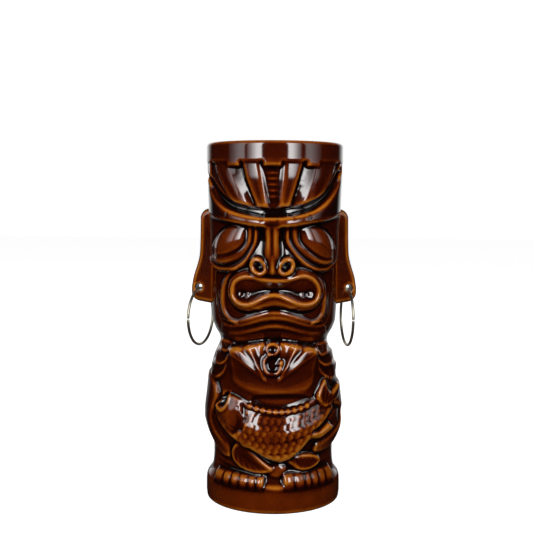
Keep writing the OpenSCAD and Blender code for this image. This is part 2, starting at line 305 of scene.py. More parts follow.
def carve_ribs(r):
    """Ribs that cross the floors between the feathers, the middle floor's clearest."""
    for z in (162.8, 160.2, 157.4, 154.6, 151.8):
        lean = BAND_Z - z
        for x, slope, half, rise in ((-1.3, 0, 1.9, 0.22), (-19.6, 0.42, 1.2, 0.1), (17.4, -0.42, 1.2, 0.1)):
            r.ridge([(x + slope * lean - half, z), (x + slope * lean + half, z)], 2.4, rise, smooth=False,
                    thin=(0.2, 1, 0.2))
        r.shade([(-3.9, z + 0.7), (1.3, z + 0.7), (1.3, z - 0.7), (-3.9, z - 0.7)], -0.3, 0.7)


def carve_headdress(r):
    carve_back_feathers(r)
    # The floor between two feathers slopes down towards the inner one.
    for outer, inner in FLOORS:
        r.incline(outer, inner, 0.8, -1.0)
    r.ridge([(-1.8, 168), (-1.4, 156), (-0.8, 146)], 9.5, -0.6)
    carve_ribs(r)
    for outline in FEATHERS:
        r.level(outline, 1.0, 1.8, smooth=False)
        for side in (outline[:4], outline[7:3:-1]):
            r.ridge(side, 1.7, 0.18)
        # The glaze lies a little thicker along the feather's middle.
        spine = [tuple((np.array(outline[k]) + np.array(outline[7 - k])) / 2) for k in range(4)]
        r.shade([spine[0], *moved(spine[1:3], -1.2), spine[3], *moved(spine[2:0:-1], 1.2)], 0.1, 1.0)
    for x0, x1 in TABS:
        r.raise_to([(x0, 170), (x0 + 0.9, TAB_Z), (x1 - 0.9, TAB_Z), (x1, 170)], 1.45, 0.9, smooth=False)
    # The plain band over the feathers, with a thin bead along its lower edge.
    band = RIM_R - form_radius(r.z)
    share = rounded((r.z - BAND_Z + 0.5) / 0.8)
    r.height += np.where(r.z > BAND_Z - 0.5, share, 0)[:, None] * (band[:, None] - r.height)
    r.height += 0.1 * np.exp(-((r.z - BAND_Z - 0.6) / 0.6) ** 2)[:, None]


def height_of(edge, s):
    """Height of an edge line at the widths s."""
    line = wrap(spline(edge))
    line = line[np.lexsort((line[:, 1], line[:, 0]))]
    return np.interp(s, line[:, 0], line[:, 1])


def carve_brow(r):
    """A crescent over the eyes, with a deep groove above it where the feathers stand."""
    groove = [(-33, 162), (-29.4, 155.4), (-25.2, 150.4), (-20, 147.2), (-13, 145.3), (-6, 144.5), (0, 144.4),
              (6, 144.9), (13, 146), (19, 148.4), (24.5, 152.2), (29, 157.8), (32.4, 165)]
    r.trench(groove, 6.4, -1.5, thin=(0.5, 1, 0.5))
    r.trench(moved(groove[3:10], dz=-0.8), 3.0, -1.05, thin=(0.3, 1, 0.3))
    upper = [(-33.1, 160), (-30, 152.6), (-25.4, 147.7), (-20, 144.8), (-14, 143.2), (-7, 142.4), (0, 142.3),
             (7, 142.7), (13, 143.7), (19, 146), (24.6, 149.8), (29.4, 155.4), (32.9, 163)]
    lower = [(33.4, 145), (29, 142), (22, 139.8), (15, 138.5), (8, 137.4), (0, 136.7), (-8, 137.3),
             (-15, 138.3), (-22, 139.6), (-29, 141.2), (-33.4, 144)]
    outline = wrap(np.vstack([spline(upper), spline(lower)]))
    at, s, z = r.window(outline, 0.5)
    depth = r.depth_in(outline, s, z)
    # The crescent juts forward most over the nose, and dies into the sides.
    front = np.cos(np.clip(s / 48, -1, 1) * math.pi / 2) ** 1.2
    middle = (height_of(upper, s) + height_of(lower, s)) / 2
    height = 1.0 + 2.6 * front
    height = height + front * (0.5 * eased(depth / 2.6) - 0.24 * (z - middle))
    share = rounded(depth / 1.3)
    ground = r.height[at]
    r.height[at] = np.where(depth > 0, ground + (height - ground) * share, ground)
    r.tone[at] += 0.34 * eased((depth - 0.5) / 1.2)
    r.ridge(upper[1:-1], 1.4, 0.2)
    # Short nicks across it.
    for x in (-21.8, -5.9, 0.9, 15.4, 25.6):
        z = 141 + 0.0035 * x * x
        r.ridge([(x, z + 1.6), (x, z - 0.9)], 1.2, -0.5, smooth=False)
    r.ridge([(7.4, 143.3), (8.6, 141.6)], 1.4, -0.7, smooth=False)


# ---- face

# Each eye: the outline of its mass, the rims round it, the creases between them, and the eyeball.
EYES = [
    dict(
        mass=[(-8, 138), (-7.9, 132.5), (-9.5, 127), (-13, 120.6), (-19, 116.4), (-28, 115.8), (-33, 119),
              (-33, 127), (-33, 136), (-33, 145), (-18, 145), (-8.6, 143.6)],
        rims=[[(-8.8, 139.6), (-8.8, 132), (-10.4, 126.6), (-14, 120.9), (-19.5, 117.3), (-28, 117),
               (-31.4, 121)],
              [(-11.4, 139.6), (-11.8, 131.4), (-14.6, 125.6), (-19, 121.9), (-25, 120.4), (-29.6, 121.6)]],
        creases=[[(-10, 138.8), (-10.4, 130.8), (-13, 125.2), (-17, 120.9), (-22.5, 118.7), (-29, 118.8)],
                 [(-13.2, 137.6), (-13.6, 130.6), (-17, 126.4), (-22, 123.8), (-27.6, 123.2), (-30, 126)],
                 [(-17, 138.6), (-21.5, 137.4), (-25.8, 135.2), (-28.8, 131.6), (-30.4, 127.4)]],
        ball=(-22.2, 128.4), tilt=36),
    dict(
        mass=[(4.4, 139), (4.5, 132.5), (6, 128), (10.4, 122.2), (16.6, 117.2), (23.6, 115.8), (29, 117.6),
              (33, 123), (33, 130), (33, 137), (33, 145), (14, 145), (5, 143.6)],
        rims=[[(5.5, 139.6), (5.3, 132), (6.9, 128.2), (11.2, 123), (17, 118.3), (23.6, 116.8), (27.6, 119)],
              [(8.8, 139.6), (9.6, 131.6), (12.6, 127), (17.4, 122.4), (23, 120.2), (27.4, 121.4)]],
        creases=[[(7, 138.8), (7.6, 131), (10.6, 126), (15.4, 121.4), (20.6, 118.6), (26.2, 118.2)],
                 [(11.2, 137.6), (11.8, 131), (15.4, 126.8), (20.2, 123), (25, 121.8), (27.4, 124)],
                 [(16.5, 138.4), (21, 137.2), (25.2, 134.9), (28.2, 131), (29.8, 126.4)]],
        ball=(21.2, 128.4), tilt=-40),
]


# Faint lines of the lids across the eyeballs, each with how dark it is.
LIDS = [
    (0.16, [(-16, 131.6), (-21, 130.6), (-26, 126.6), (-28.6, 124.6), (-25, 127.6), (-20, 131.8)]),
    (0.12, [(-17, 128.4), (-22, 126.4), (-27, 123.8), (-22, 127.2)]),
    (0.18, [(12.6, 133), (16.6, 131.2), (21.4, 127.4), (25.4, 123.4), (21.8, 128.6), (17, 132.4)]),
    (0.14, [(20.4, 134.6), (24.4, 130.6), (27.4, 125.4), (25, 131.6)]),
]


def carve_eyes(r):
    for eye in EYES:
        r.level(eye["mass"], 1.4, 2.6)
        for rim in eye["rims"]:
            r.ridge(rim, 3.8, 0.75, thin=(1, 0.9, 0.7))
        r.dome(eye["ball"], (12.6, 8.4), eye["tilt"], 3.0, power=2)
        for crease in eye["creases"]:
            r.ridge(crease, 1.9, -0.75, thin=(0.8, 1, 0.35))
    for amount, lid in LIDS:
        r.shade(lid, amount, 0.8)


WINGS = [((-7.4, 118.8), 40), ((5.2, 118.8), -40)]    # place and lean of each wing of the nose
BRIDGE_X = -1.3


def carve_nose(r):
    # Flanks that lean back towards the brow, then the bridge and the two wings.
    flanks = [(-7.4, 140), (-8.2, 131), (-10.2, 126), (-10.8, 121), (-5.6, 115.6), (-1.3, 114.6),
              (3.2, 115.6), (8.4, 122), (7.4, 126), (5.2, 131), (4.4, 140)]
    at, _, z, depth = r.patch(flanks)
    floor = 0.6 + 0.13 * np.clip(128.6 - z, -2, 12)
    r.height[at] += (floor - r.height[at]) * rounded(depth / 1.6)
    bridge = [(-4.7, 140), (-4.9, 131), (-5.2, 125), (-4.4, 121), (-3.6, 116), (-1.2, 114.9), (1.4, 116),
              (2.0, 121), (2.6, 125), (2.3, 131), (2.1, 140)]
    r.raise_to(bridge, 3.4, 2.2, crown=0.7)
    r.shade(bridge, 0.16, 1.6)
    r.ridge([(-1.4, 139), (-1.3, 130), (-1.2, 124)], 1.2, -0.5, thin=(1, 1, 0.6))
    for side in (-1, 1):
        x = BRIDGE_X + side * 1.5
        r.ridge([(x - 0.2, 139), (x, 129), (x, 123)], 2.0, 0.35, thin=(1, 1, 0.6))
    # Each wing is a round lobe with a rim round its nostril.
    for wing, tilt in WINGS:
        r.level(oval(wing, 4.6, 5.3, tilt), 2.8, 2.4)
        r.ridge(oval(wing, 2.9, 3.7, tilt), 3.0, 1.0, closed=True)
        r.level(oval(wing, 2.2, 3.0, tilt), -0.6, 2.0, shape=ramped)
        # The nostril is darkened: pooled glaze and painted shade in its pit.
        r.shade(oval(wing, 2.1, 2.9, tilt), 0.5, 1.0)
    # The septum, with a dark groove each side of it.
    r.ridge([(-1.0, 124), (-0.9, 118), (-0.9, 115.4)], 2.6, 0.5, thin=(0.4, 1, 0.8))
    r.ridge([(-4.0, 122.4), (-3.6, 119.4), (-3.4, 117.4)], 1.8, -0.6, thin=(0.5, 1, 0.5))
    r.ridge([(1.9, 122), (1.6, 119.4), (1.5, 117.4)], 1.8, -0.6, thin=(0.5, 1, 0.5))


# The crest of the lips, all round the mouth.
LIP = [(-19.4, 106.4), (-18.6, 110.6), (-15.6, 113.2), (-11, 114), (-5.5, 112.8), (0, 112.3), (5, 112.6),
       (9, 113.6), (13.4, 114.4), (17.4, 112.8), (19.9, 109.4), (20.4, 105.6), (19, 102.2), (15.6, 100.7),
       (11.4, 101), (7, 102.9), (3, 104.8), (-0.6, 105.4), (-4.4, 104.4), (-8.4, 102.1), (-12.4, 100.5),
       (-16.2, 101), (-18.8, 103.4)]
# The line where the teeth meet.
TEETH = [(-15.6, 105.6), (-13, 105.6), (-10.4, 106.1), (-6, 107.1), (-0.8, 107.6), (2, 107.6), (7, 107.1),
         (10.6, 106.1), (13.4, 105.5), (16.2, 105.5)]
MOUTH_FLOOR = -0.4
FANGS = [(-16.2, 105.4, 1.3, 1.2), (-13.2, 105.2, 1.0, 1.5), (13.8, 105.2, 1.5, 1.0), (17.0, 105.3, 1.4, 1.1)]
CHEEK_FOLDS = [
    [(-18, 117), (-22, 114.4), (-24.8, 109.4), (-25.6, 104), (-25.3, 98), (-22.9, 93.4), (-18.4, 91.2)],
    [(17.6, 117), (21.4, 114.4), (23.8, 109.4), (24.6, 104), (24.5, 98), (22.6, 93.4), (18.4, 91.2)],
]


def grown(points, by):
    """The outline pushed outwards, the same distance all round."""
    p = spline(points, True, 3)[:-1]
    ahead, behind = np.roll(p, -1, 0), np.roll(p, 1, 0)
    along = ahead - behind
    out = np.stack([along[:, 1], -along[:, 0]], 1) / np.linalg.norm(along, axis=1)[:, None]
    area = np.sum(p[:, 0] * ahead[:, 1] - ahead[:, 0] * p[:, 1])
    return p + out * by * (1 if area > 0 else -1)


def carve_mouth(r):
    r.ridge(grown(LIP, 3.6), 1.8, -0.5, closed=True)
    r.level(grown(LIP, 3.4), 2.4, 4.6, smooth=False)
    lower_lip = [(-12, 100.8), (-6, 103.4), (0, 104.8), (6, 103.6), (12, 101.2), (8.4, 98.4), (4, 99.3),
                 (0, 99.9), (-4, 99.1), (-8.4, 97.9)]
    r.raise_to(lower_lip, 2.3, 2.6)
    r.ridge(LIP, 3.2, 0.8, closed=True)
    # The open mouth sinks from the lips to a crease between the teeth, with small fangs at its corners.
    opening = wrap(grown(LIP, -0.6))
    crease = wrap(spline(TEETH))
    at, s, z = r.window(opening, 0.5)
    depth = np.maximum(r.depth_in(opening, s, z), 0)
    gap, _ = r.distance(crease, s, z)
    share = depth / np.maximum(depth + gap, 1e-6)
    r.height[at] += (MOUTH_FLOOR - r.height[at]) * (1 - (1 - share) ** 1.3)
    # The inside is a little lighter, and a dark line of pooled glaze and painted shade runs along the crease
    # between the teeth.
    r.tone[at] += -0.12 * eased(depth / 2) + 0.2 * np.exp(-(gap / 0.9) ** 2) * eased(depth)
    for x, z, across, up in FANGS:
        r.dome((x, z), (across, up), 0, 0.8, power=2)
    # Cheek folds frame the mouth, each with a groove outside it.
    for fold in CHEEK_FOLDS:
        r.ridge(fold, 5.6, 0.9, thin=(0.6, 1, 0.5))
        r.ridge(fold, 3.0, 0.3, thin=(0.3, 1, 0.6))
        r.shade(fold + moved(fold[::-1], dz=0.8, widen=0.93), -0.26, 1.2)
        r.ridge(moved(fold[1:7], dz=-1.2, widen=1.13), 3.0, -0.5, thin=(0.2, 1, 0.6))


def wave(middle_z, side_z, half, points=13):
    """A line that is high in the middle and falls away to both sides like a cosine."""
    u = np.linspace(-1, 1, points)
    z = (middle_z + side_z) / 2 + (middle_z - side_z) / 2 * np.cos(np.clip(u * 1.08, -1, 1) * math.pi)
    return list(zip(0.2 + half * u, z))


# The wave, the width, the height and the share left at the ends of each fold of the chin.
CHIN_FOLDS = [((97.0, 91.6, 24), 3.2, 1.2, 0.5), ((94.8, 89.6, 25), 5.4, 0.8, 0.5),
              ((92.4, 87.0, 27), 2.0, -0.5, 0.15), ((90.6, 85.8, 27), 3.4, 0.3, 0.15),
              ((88.4, 84.6, 24), 2.2, -0.7, 0.15)]
CHIN_CRESTS = [(96.4, 91.2, 22), (91.6, 86.8, 23), (87.0, 84.2, 19)]    # waves along which the glaze is thin


def carve_chin(r):
    # One long wavy lip under the mouth, then softer folds under it.
    for line, width, height, end in CHIN_FOLDS:
        r.ridge(wave(*line), width, height, thin=(end, 1, end))
    for line in CHIN_CRESTS:
        crest = wave(*line, points=9)
        r.shade(crest + moved(crest[::-1], dz=-2.6), -0.2, 1.2)
    chin = [(-22, 89), (-12, 90.5), (0, 91), (12, 90.5), (22, 89), (20, 84), (0, 82.5), (-20, 84)]
    r.shade(chin, -0.04, 2.5)


CHEST_R = 31.8
JAW_R = 31.5
JAW_TOP = 97     # below this height the jaw is its own surface


def jaw_edge(s):
    """Height of the jaw's lower edge, higher in the middle than at its corners."""
    return 82.0 + 2.2 * np.cos(np.clip(s / 26, -1, 1) * math.pi)


def at_front(s):
    """1 across the front, and falling to 0 towards the sides."""
    return eased((38 - np.abs(s)) / 20)


def carve_chest(r):
    """The chest and belly hang almost straight, up to a rounded shelf close under the jaw."""
    s, z = np.meshgrid(r.s, r.z)
    # Within the V of the collar it leans back.
    collar = eased(((z - 64) * 1.2 - np.abs(s + 0.9)) / 3)
    belly = CHEST_R + 0.045 * (72 - z) - 0.12 * np.clip(z - 67, 0, None) * collar - form_radius(z)
    r.height += belly * rounded((jaw_edge(s) - z) / 2.6) * eased((z - 46) / 6) * at_front(s)


def carve_jaw(r):
    """The jaw juts over the chest at the front, and curves under as it comes down."""
    s, z = np.meshgrid(r.s, r.z)
    above = z - jaw_edge(s)
    front = at_front(s)
    jaw = JAW_R - 3.4 * np.clip((JAW_TOP - z) / 14, 0, None) ** 1.6 - form_radius(z)
    r.height += (jaw - r.height) * eased(above / 1.8) * eased((JAW_TOP - z) / 4) * front
    # A groove runs along its lower edge, darkened with pooled glaze and painted shade under the jaw's
    # overhang.
    r.height -= 0.8 * np.exp(-((above + 0.6) / 1.1) ** 2) * front
    r.tone += 0.3 * np.exp(-((above + 0.4) / 1.2) ** 2) * front


# ---- chest

def carve_collar(r):
    """A collar of pointed leaves meets in a V, each leaf a plain facet between two thin ribs."""
    for side in (-1, 1):
        def at(*points):
            return [(-0.9 + side * x, z) for x, z in points]

        leaf = at((20, 78), (14, 84), (6, 86), (3.4, 66.4), (2.4, 64.6), (9.4, 69.4), (14.6, 73.4))
        r.lift(leaf, 0.4, 1.2, smooth=False)
        # Each facet leans in from its outer rib.
        r.ridge(at((15.8, 82), (10.6, 74), (5.4, 67.6)), 5.4, -0.4, thin=(1.1, 1, 0.3))
        r.ridge(at((7.8, 86), (6, 76), (3.9, 69)), 5.0, -0.4, thin=(1.1, 1, 0.3))
        r.ridge(at((19.4, 77.4), (14.4, 73.4), (9, 69.4), (2.8, 64.8)), 1.8, 0.45, smooth=False)
        r.ridge(at((13, 84), (7.8, 74.2), (3.4, 65.6)), 1.8, 0.5, smooth=False)
        r.shade(at((21, 79.6), (19.6, 76.6), (14, 73.4), (12.6, 79)), 0.22, 2.2)
    middle = [(-3.0, 66.4), (-0.9, 65), (1.3, 66.4), (3.1, 72), (4.2, 88), (-6.0, 88), (-4.9, 72)]
    # The V between the leaves sinks and is darkened: pooled glaze and painted shade in the recess under the
    # jaw.
    r.lift(middle, -0.5, 1.6, smooth=False)
    r.shade(middle, 0.25, 1.4, smooth=False)


def carve_pendant(r):
    """A plain fish hook hung from a ring: a shank, a round bend and a barbed point."""
    x0, ring_z, ring_r = -0.7, 79.4, 2.5
    bend_z, bend_r = 71.6, 3.8
    r.ridge(oval((x0, ring_z), ring_r, ring_r, count=12), 2.4, 1.2, closed=True)
    bend = [(x0 - bend_r * math.cos(a), bend_z - bend_r * math.sin(a)) for a in np.linspace(0, math.pi, 9)]
    shank = [(x0 - 1.4, ring_z - ring_r), (x0 - bend_r + 0.3, bend_z + 2.6)]
    r.ridge(shank + bend + [(x0 + bend_r + 0.3, bend_z + 1.8)], 2.6, 1.3)
    r.ridge([(x0 + bend_r + 0.2, bend_z + 2.0), (x0 + bend_r - 1.6, bend_z + 0.8)], 1.7, 1.0, smooth=False)
    r.shade(bend + [(x0 + 1.6, bend_z + 3.4), (x0 - 1.6, bend_z + 3.4)], -0.2, 1.6)


# Each shoulder scale: its outline, from its upper inner corner round the bottom to its outer corner.
SHOULDER_SCALES = [
    [(-23.2, 71.4), (-24.2, 67.6), (-26.6, 64.4), (-29.6, 62.9), (-31.2, 65.4), (-30.4, 71)],
    [(-21, 77.4), (-22.2, 74), (-24.6, 71), (-27.8, 70.1), (-29.2, 72.6), (-27.6, 77)],
    [(-19.6, 81), (-20.2, 79), (-22.2, 77), (-25, 76.7), (-26.2, 79), (-25.6, 82)],
    [(21.6, 70.6), (22.6, 67.8), (25.4, 64.6), (28.8, 62.8), (31, 64), (31.4, 70.4)],
    [(20.8, 75.4), (21.6, 72.8), (24.8, 70.2), (28.2, 70.4), (29.8, 73), (28.8, 76.8)],
    [(20.2, 80.6), (20.6, 77.6), (22.4, 75.3), (25.2, 75.5), (26.6, 78), (26.2, 81)],
]


def carve_shoulders(r):
    for k, outline in enumerate(SHOULDER_SCALES):
        r.level(outline, 0.8 + 0.3 * (k % 3), 1.3)
        r.ridge(outline[:5], 2.2, 1.0, thin=(0.5, 1, 0.6))
        r.shade(outline, 0.14, 2.6)


def carve_belly(r):
    panel = [(-21, 78), (-21.4, 66), (-19.8, 61.2), (-14, 58.2), (-8, 56.8), (3, 56.4), (14, 57),
             (18.6, 59.8), (20.6, 65), (20.4, 78), (16, 94), (-16, 94)]
    r.lift(panel, 0.9, 3.6)
    # The paunch rolls over a soft fold, with pooled glaze and painted shade darkening the ground under its
    # edge.
    fold = [(-10, 58.0), (-4, 58.6), (3, 58.8), (9, 58.6), (16, 57.8), (18, 55), (10, 51.4), (2, 50.4),
            (-8, 52), (-12, 55)]
    r.lift(fold, -0.8, 2.2)
    edge = [(-9, 57.6), (-3, 58.6), (3, 58.8), (9, 58.6), (15, 57.4), (8, 57), (2, 56.8), (-4, 57)]
    # Painted shade along the ground under the fold's edge.
    r.shade(edge, 0.3, 0.9)
    r.shade([(-10, 56), (2, 56.4), (14, 56), (10, 52.6), (2, 52), (-6, 53)], -0.16, 1.6)
    paunch = [(-18, 66), (-10, 64), (0, 62), (10, 64), (18, 66), (17, 59), (0, 59), (-17, 59)]
    r.shade(paunch, -0.08, 3.0)
    r.shade([(-20, 60), (20, 60), (20, 78), (-20, 78)], 0.06, 2.0, smooth=False)


# ---- arms and fish

def carve_arms(r):
    left = [(-33.2, 66), (-30.4, 63.6), (-28, 60), (-27.2, 55), (-28.6, 50), (-29.9, 44), (-28.4, 38.6),
            (-25, 34.4), (-22, 31), (-21, 27.6), (-21.6, 24.9), (-24.4, 24.8), (-28, 28), (-31.4, 34),
            (-34.2, 42), (-34.4, 54)]
    right = [(34.2, 62), (31.8, 60.6), (28.4, 56), (27, 51.4), (30.6, 49.6), (33.6, 46), (33, 40),
             (27.6, 35.8), (22, 33.2), (19.3, 30.4), (19.6, 28.4), (22.6, 27.2), (27.4, 28.2), (31.2, 32),
             (34.2, 40), (34.6, 52)]
    for arm, height in ((left, 1.7), (right, 1.8)):
        r.level(arm, height, 2.6)
        r.shade(arm, 0.1, 3.0)
    r.ridge([(-29.6, 45), (-28.6, 40), (-25.4, 35.6), (-22.2, 31.6), (-21.1, 28), (-21.5, 25.4)], 1.9, 0.7)
    r.ridge([(33, 41), (28, 37), (22.6, 34), (19.8, 30.6), (20.2, 28.6)], 1.9, 0.7)
    r.ridge([(-27.6, 61), (-26.2, 57), (-26.6, 53), (-28, 49)], 2.2, -0.6)
    # The forearm comes out from under the shoulder as a soft crook.
    r.ridge([(25, 64.5), (25.2, 61), (27, 57.4), (30, 54.4)], 2.2, 0.8)
    r.ridge([(27.6, 63.6), (28.2, 60.4), (30.2, 57.6)], 2.0, -1.0)


# The outline of the fish's body, head to the left.
FISH = [(-28.4, 47), (-28, 50.4), (-25.6, 54), (-21, 57), (-17, 56), (-11, 53), (-4, 51.4), (3, 50.8),
        (9, 51.3), (14.6, 53), (19, 55.4), (22.6, 57.4), (26, 55), (29.2, 50), (27.4, 46.4), (22.4, 41),
        (17.6, 36), (13, 31), (8.4, 27), (3, 24.8), (-3, 26.6), (-9, 30), (-15, 33), (-21, 36.4),
        (-26, 41.4)]
BACK_DROP = 0.0125      # how the fish's back curves up away from its middle
BACK_MIDDLE = 2.6
FISH_R = 35.5           # how far out the fullest part of the fish reaches
FISH_ARC = 33.4         # radius that turns a width on the fish back into its front view
SCALE_PITCH = (3.3, 2.8)


def back_line(x, z):
    """A line along the fish like its back, at height z where it is lowest."""
    return z + BACK_DROP * (x - BACK_MIDDLE) ** 2


def carve_fish(r):
    r.level([(x * 1.02, 40 + (z - 40) * 1.04) for x, z in FISH], -0.5, 0.9)
    at, s, z, depth = r.patch(FISH)
    # Fullest along its middle, and falling away evenly to its back and its belly.
    x = np.sin(s / ARC_R) * FISH_ARC
    up = z - back_line(x, 38)
    fall = np.where(up > 0, 1.9 * eased((up - 0.5) / 9.5), up ** 2 / 110)
    fall = fall + 0.7 * np.clip(np.abs(x) / 28, 0, 1) ** 3
    body = FISH_R - fall - form_radius(z)
    share = rounded(depth / 1.2)
    ground = r.height[at]
    r.height[at] = np.where(depth > 0, ground + (body - ground) * share, ground)
    carve_scales(r, at, s, z, depth)
    carve_fish_head(r)
    # Knobs of the back fin.
    for k in range(10):
        x = -11.4 + 3.05 * k
        r.dome((x, back_line(x, 49.8)), (1.15, 1.3), -8 + 2 * k, 1.1)


def carve_scales(r, at, s, z, room):
    """Overlapping scales: each is a leaning disc whose round free edge, towards the tail, stands highest."""
    x = np.sin(s / ARC_R) * FISH_ARC
    u = (x + 40) / SCALE_PITCH[0]
    # The rows follow the back, and lean a little.
    v = (z - back_line(x, 0) - 10 - 0.10 * x) / SCALE_PITCH[1]
    height = np.zeros_like(u)
    base = np.floor(v)
    for down in (-1, 0, 1):
        row = base + down
        shift = 0.5 * (row % 2)
        cell = np.floor(u - shift)
        for along in (-1, 0, 1):
            k = cell + along
            # A small uneven offset for each scale, the same for every scale with the same place.
            jitter = np.sin(k * 12.9 + row * 78.2) * 0.12
            du = (u - shift - k - 0.5 + jitter) / 0.8
            dv = (v - row - 0.5 + jitter * 0.6) / 0.72
            reach = np.hypot(du, dv)
            disc = (0.7 + 0.3 * du) * eased((1 - reach) / 0.3)
            height = np.maximum(height, disc)
    # They begin behind the head and stop short of the outline and of the back.
    behind = eased((x + 14.6) / 1.5) + (z < back_line(x, 36.2)) * (x < -14)
    fade = eased((room - 0.8) / 1.6) * np.clip(behind, 0, 1)
    fade = fade * eased((back_line(x, 47.9) - z) / 1.2)
    r.height[at] += 0.75 * height * fade
    r.tone[at] += (0.4 - 0.64 * height) * fade


def carve_fish_head(r):
    head = [(-28.3, 47), (-27.6, 50.6), (-25, 53.6), (-20.6, 56.4), (-16.4, 54.2), (-14.4, 48.4), (-15, 42.4),
            (-17.6, 38.4), (-22, 37.6), (-26.2, 42)]
    r.level(head, 1.5, 2.6, crown=1.2)
    r.ridge([(-15.4, 53.6), (-13.7, 48.6), (-14.2, 42.6), (-17.4, 37.8)], 1.6, -0.7, thin=(0.7, 1, 0.6))
    r.ridge([(-17.2, 47.6), (-16.6, 43.4), (-18.4, 40)], 1.4, -0.3, thin=(0.6, 1, 0.6))
    # The open mouth is a ring of lip round a pit, at the upper front of the head.
    r.dome((-24.3, 53.6), (2.2, 3.6), -28, -2.6)
    # The pit is darkened: pooled glaze and painted shade.
    r.shade([(-27, 50.6), (-24.6, 50), (-22.4, 53), (-21.4, 57.4), (-24.6, 57)], 0.4, 0.8)
    r.ridge([(-27.4, 51), (-26.6, 49.2), (-24.4, 48.7), (-22.3, 50.8), (-21.3, 54), (-21.2, 57.6)], 1.9, 1.1)
    r.ridge([(-16.9, 52.1), (-17.9, 51.1), (-17.2, 50.1), (-16.1, 51)], 1.0, 0.35, closed=True)
    r.dome((-17, 51.1), (0.8, 0.8), 0, -0.5)


def carve_fins(r):
    chest_fin = [(-15.2, 34.2), (-18.4, 33), (-20.2, 28.6), (-19.2, 24), (-15.6, 20.9), (-9.5, 19.2),
                 (-4, 19.3), (-0.4, 21.4), (-5, 25.6), (-10.4, 30)]
    belly_fin = [(6.4, 25.6), (9.4, 22.6), (13, 20.3), (17.6, 20.2), (21.4, 22), (22.8, 24.8), (19.4, 27.6),
                 (14, 28.6), (9, 27.6)]
    tail = [(20.2, 55.4), (21.6, 60), (24.2, 64), (25.6, 60), (27.4, 57.2), (31.6, 59.6), (31.4, 55),
            (28.6, 51.6), (24, 50.6)]
    for fin, height, edge, dark in (
            (chest_fin, 2.2, 1.1, 0.14), (belly_fin, 2.1, 1.1, 0.14), (tail, 2.4, 1.2, 0.2)):
        r.level(fin, height, edge)
        r.shade(fin, dark, 2.4)
    r.ridge([(-14.6, 33.6), (-9.8, 29.4), (-4.6, 25), (-0.6, 21.8)], 1.7, 0.8)
    for k in range(6):
        root = (-17.6 + 1.9 * k * 0.5, 31.2 - 1.2 * k * 0.7)
        end = (-17.6 + 3.1 * k, 22.6 - 0.42 * k - 0.9 * math.sin(k * 0.6))
        r.ridge([root, end], 1.3, -0.38, smooth=False, thin=(0.6, 1, 0.8))
    r.ridge([(7, 24.8), (10, 22), (14, 20.7), (18.4, 21), (21.8, 23)], 1.4, 0.7)
    for k in range(5):
        root, end = (10.4 + 1.9 * k, 26.8 - 0.2 * k), (13.2 + 1.7 * k, 22.2 + 0.35 * k)
        r.ridge([root, end], 1.2, -0.5, smooth=False, thin=(0.7, 1, 0.7))
    for k in range(4):
        r.ridge([(23 + 1.3 * k, 52.2), (23.2 + 2.4 * k, 60.4 - 1.4 * k)], 1.2, -0.4, smooth=False)
    # The thumb that holds the fish lies along its lower edge.
    thumb = [(17.2, 36.6), (21, 35.2), (25, 37.2), (28.4, 39.6), (27.4, 41.6), (25.8, 42.2), (21.6, 39.8),
             (18, 38.6)]
    r.level(thumb, 3.3, 1.2)
    r.ridge([(18.4, 38), (22, 39.8), (26, 41.6)], 1.4, 0.5)
    r.ridge([(18, 39.6), (22.6, 41.6), (27.4, 44.6), (31, 48)], 1.8, -1.0)


# ---- feet

TOE_GAPS = [[-27.4, -23.4, -19.8, -16.0, -11.8, -8.0, -4.6], [4.8, 9.8, 14.6, 17.6, 21.0, 24.4, 28.0]]
TOE_TOPS = [18.0, 19.4]
TOE_BOTTOM = 11.2


def carve_toe(r, start, end, top):
    """One round toe between two widths: fullest low down, and rounded over at its top."""
    middle, half = (start + end) / 2, (end - start) / 2
    at, s, z = r.window(np.array([[start, TOE_BOTTOM], [end, top + 0.6]]), 0.2)
    across = np.clip(1 - ((s - middle) / half) ** 2, 0, 1) ** 0.5
    up = np.clip(1 - (np.clip(z - 14.4, 0, None) / (top + 0.4 - 14.4)) ** 2, 0, 1) ** 0.5
    out = 33.0 + 0.7 * across - 0.12 * np.clip(z - 14, 0, None)
    toe = (out - form_radius(z)) * up * eased((z - TOE_BOTTOM - 0.2) / 0.8)
    r.height[at] = np.maximum(r.height[at], toe)
    # The toe is darker, and darker still towards its sides, where pooled glaze and painted shade lie between
    # the toes.
    r.tone[at] += (0.17 + 0.3 * (1 - across) ** 2) * up


def carve_feet(r):
    # A groove over each row of toes.
    r.ridge([(-29, 21.8), (-24, 20.8), (-18, 19.3), (-10, 18.8), (-4, 18.6)], 2.6, -0.8, thin=(0.3, 1, 0.6))
    r.ridge([(8, 19.6), (13, 19.2), (18, 19.6), (24, 21.4), (29, 22)], 2.6, -0.8, thin=(0.6, 1, 0.3))
    for gaps, top in zip(TOE_GAPS, TOE_TOPS):
        widths = wrap([(x, 17) for x in gaps])[:, 0]
        for start, end in zip(widths[:-1], widths[1:]):
            carve_toe(r, start, end, top)
    # The skirt above the feet ends in a tongue between them.
    tongue = [(-3.2, 22.6), (-2.8, 19.4), (-0.4, 17.5), (3.2, 17.5), (5.6, 19.4), (6.2, 22.6), (1.5, 24)]
    r.level(tongue, 1.3, 3.4)
    tip = [(-6.6, 14.4), (-4.6, 12.2), (-1, 11.2), (4, 11.2), (7.6, 12.4), (9, 14.4), (2, 15)]
    r.level(tip, 0.7, 2.4, shape=eased)
    r.shade(tip, -0.15, 1.5)


HAIR_PITCH = 5.58    # width of one strand


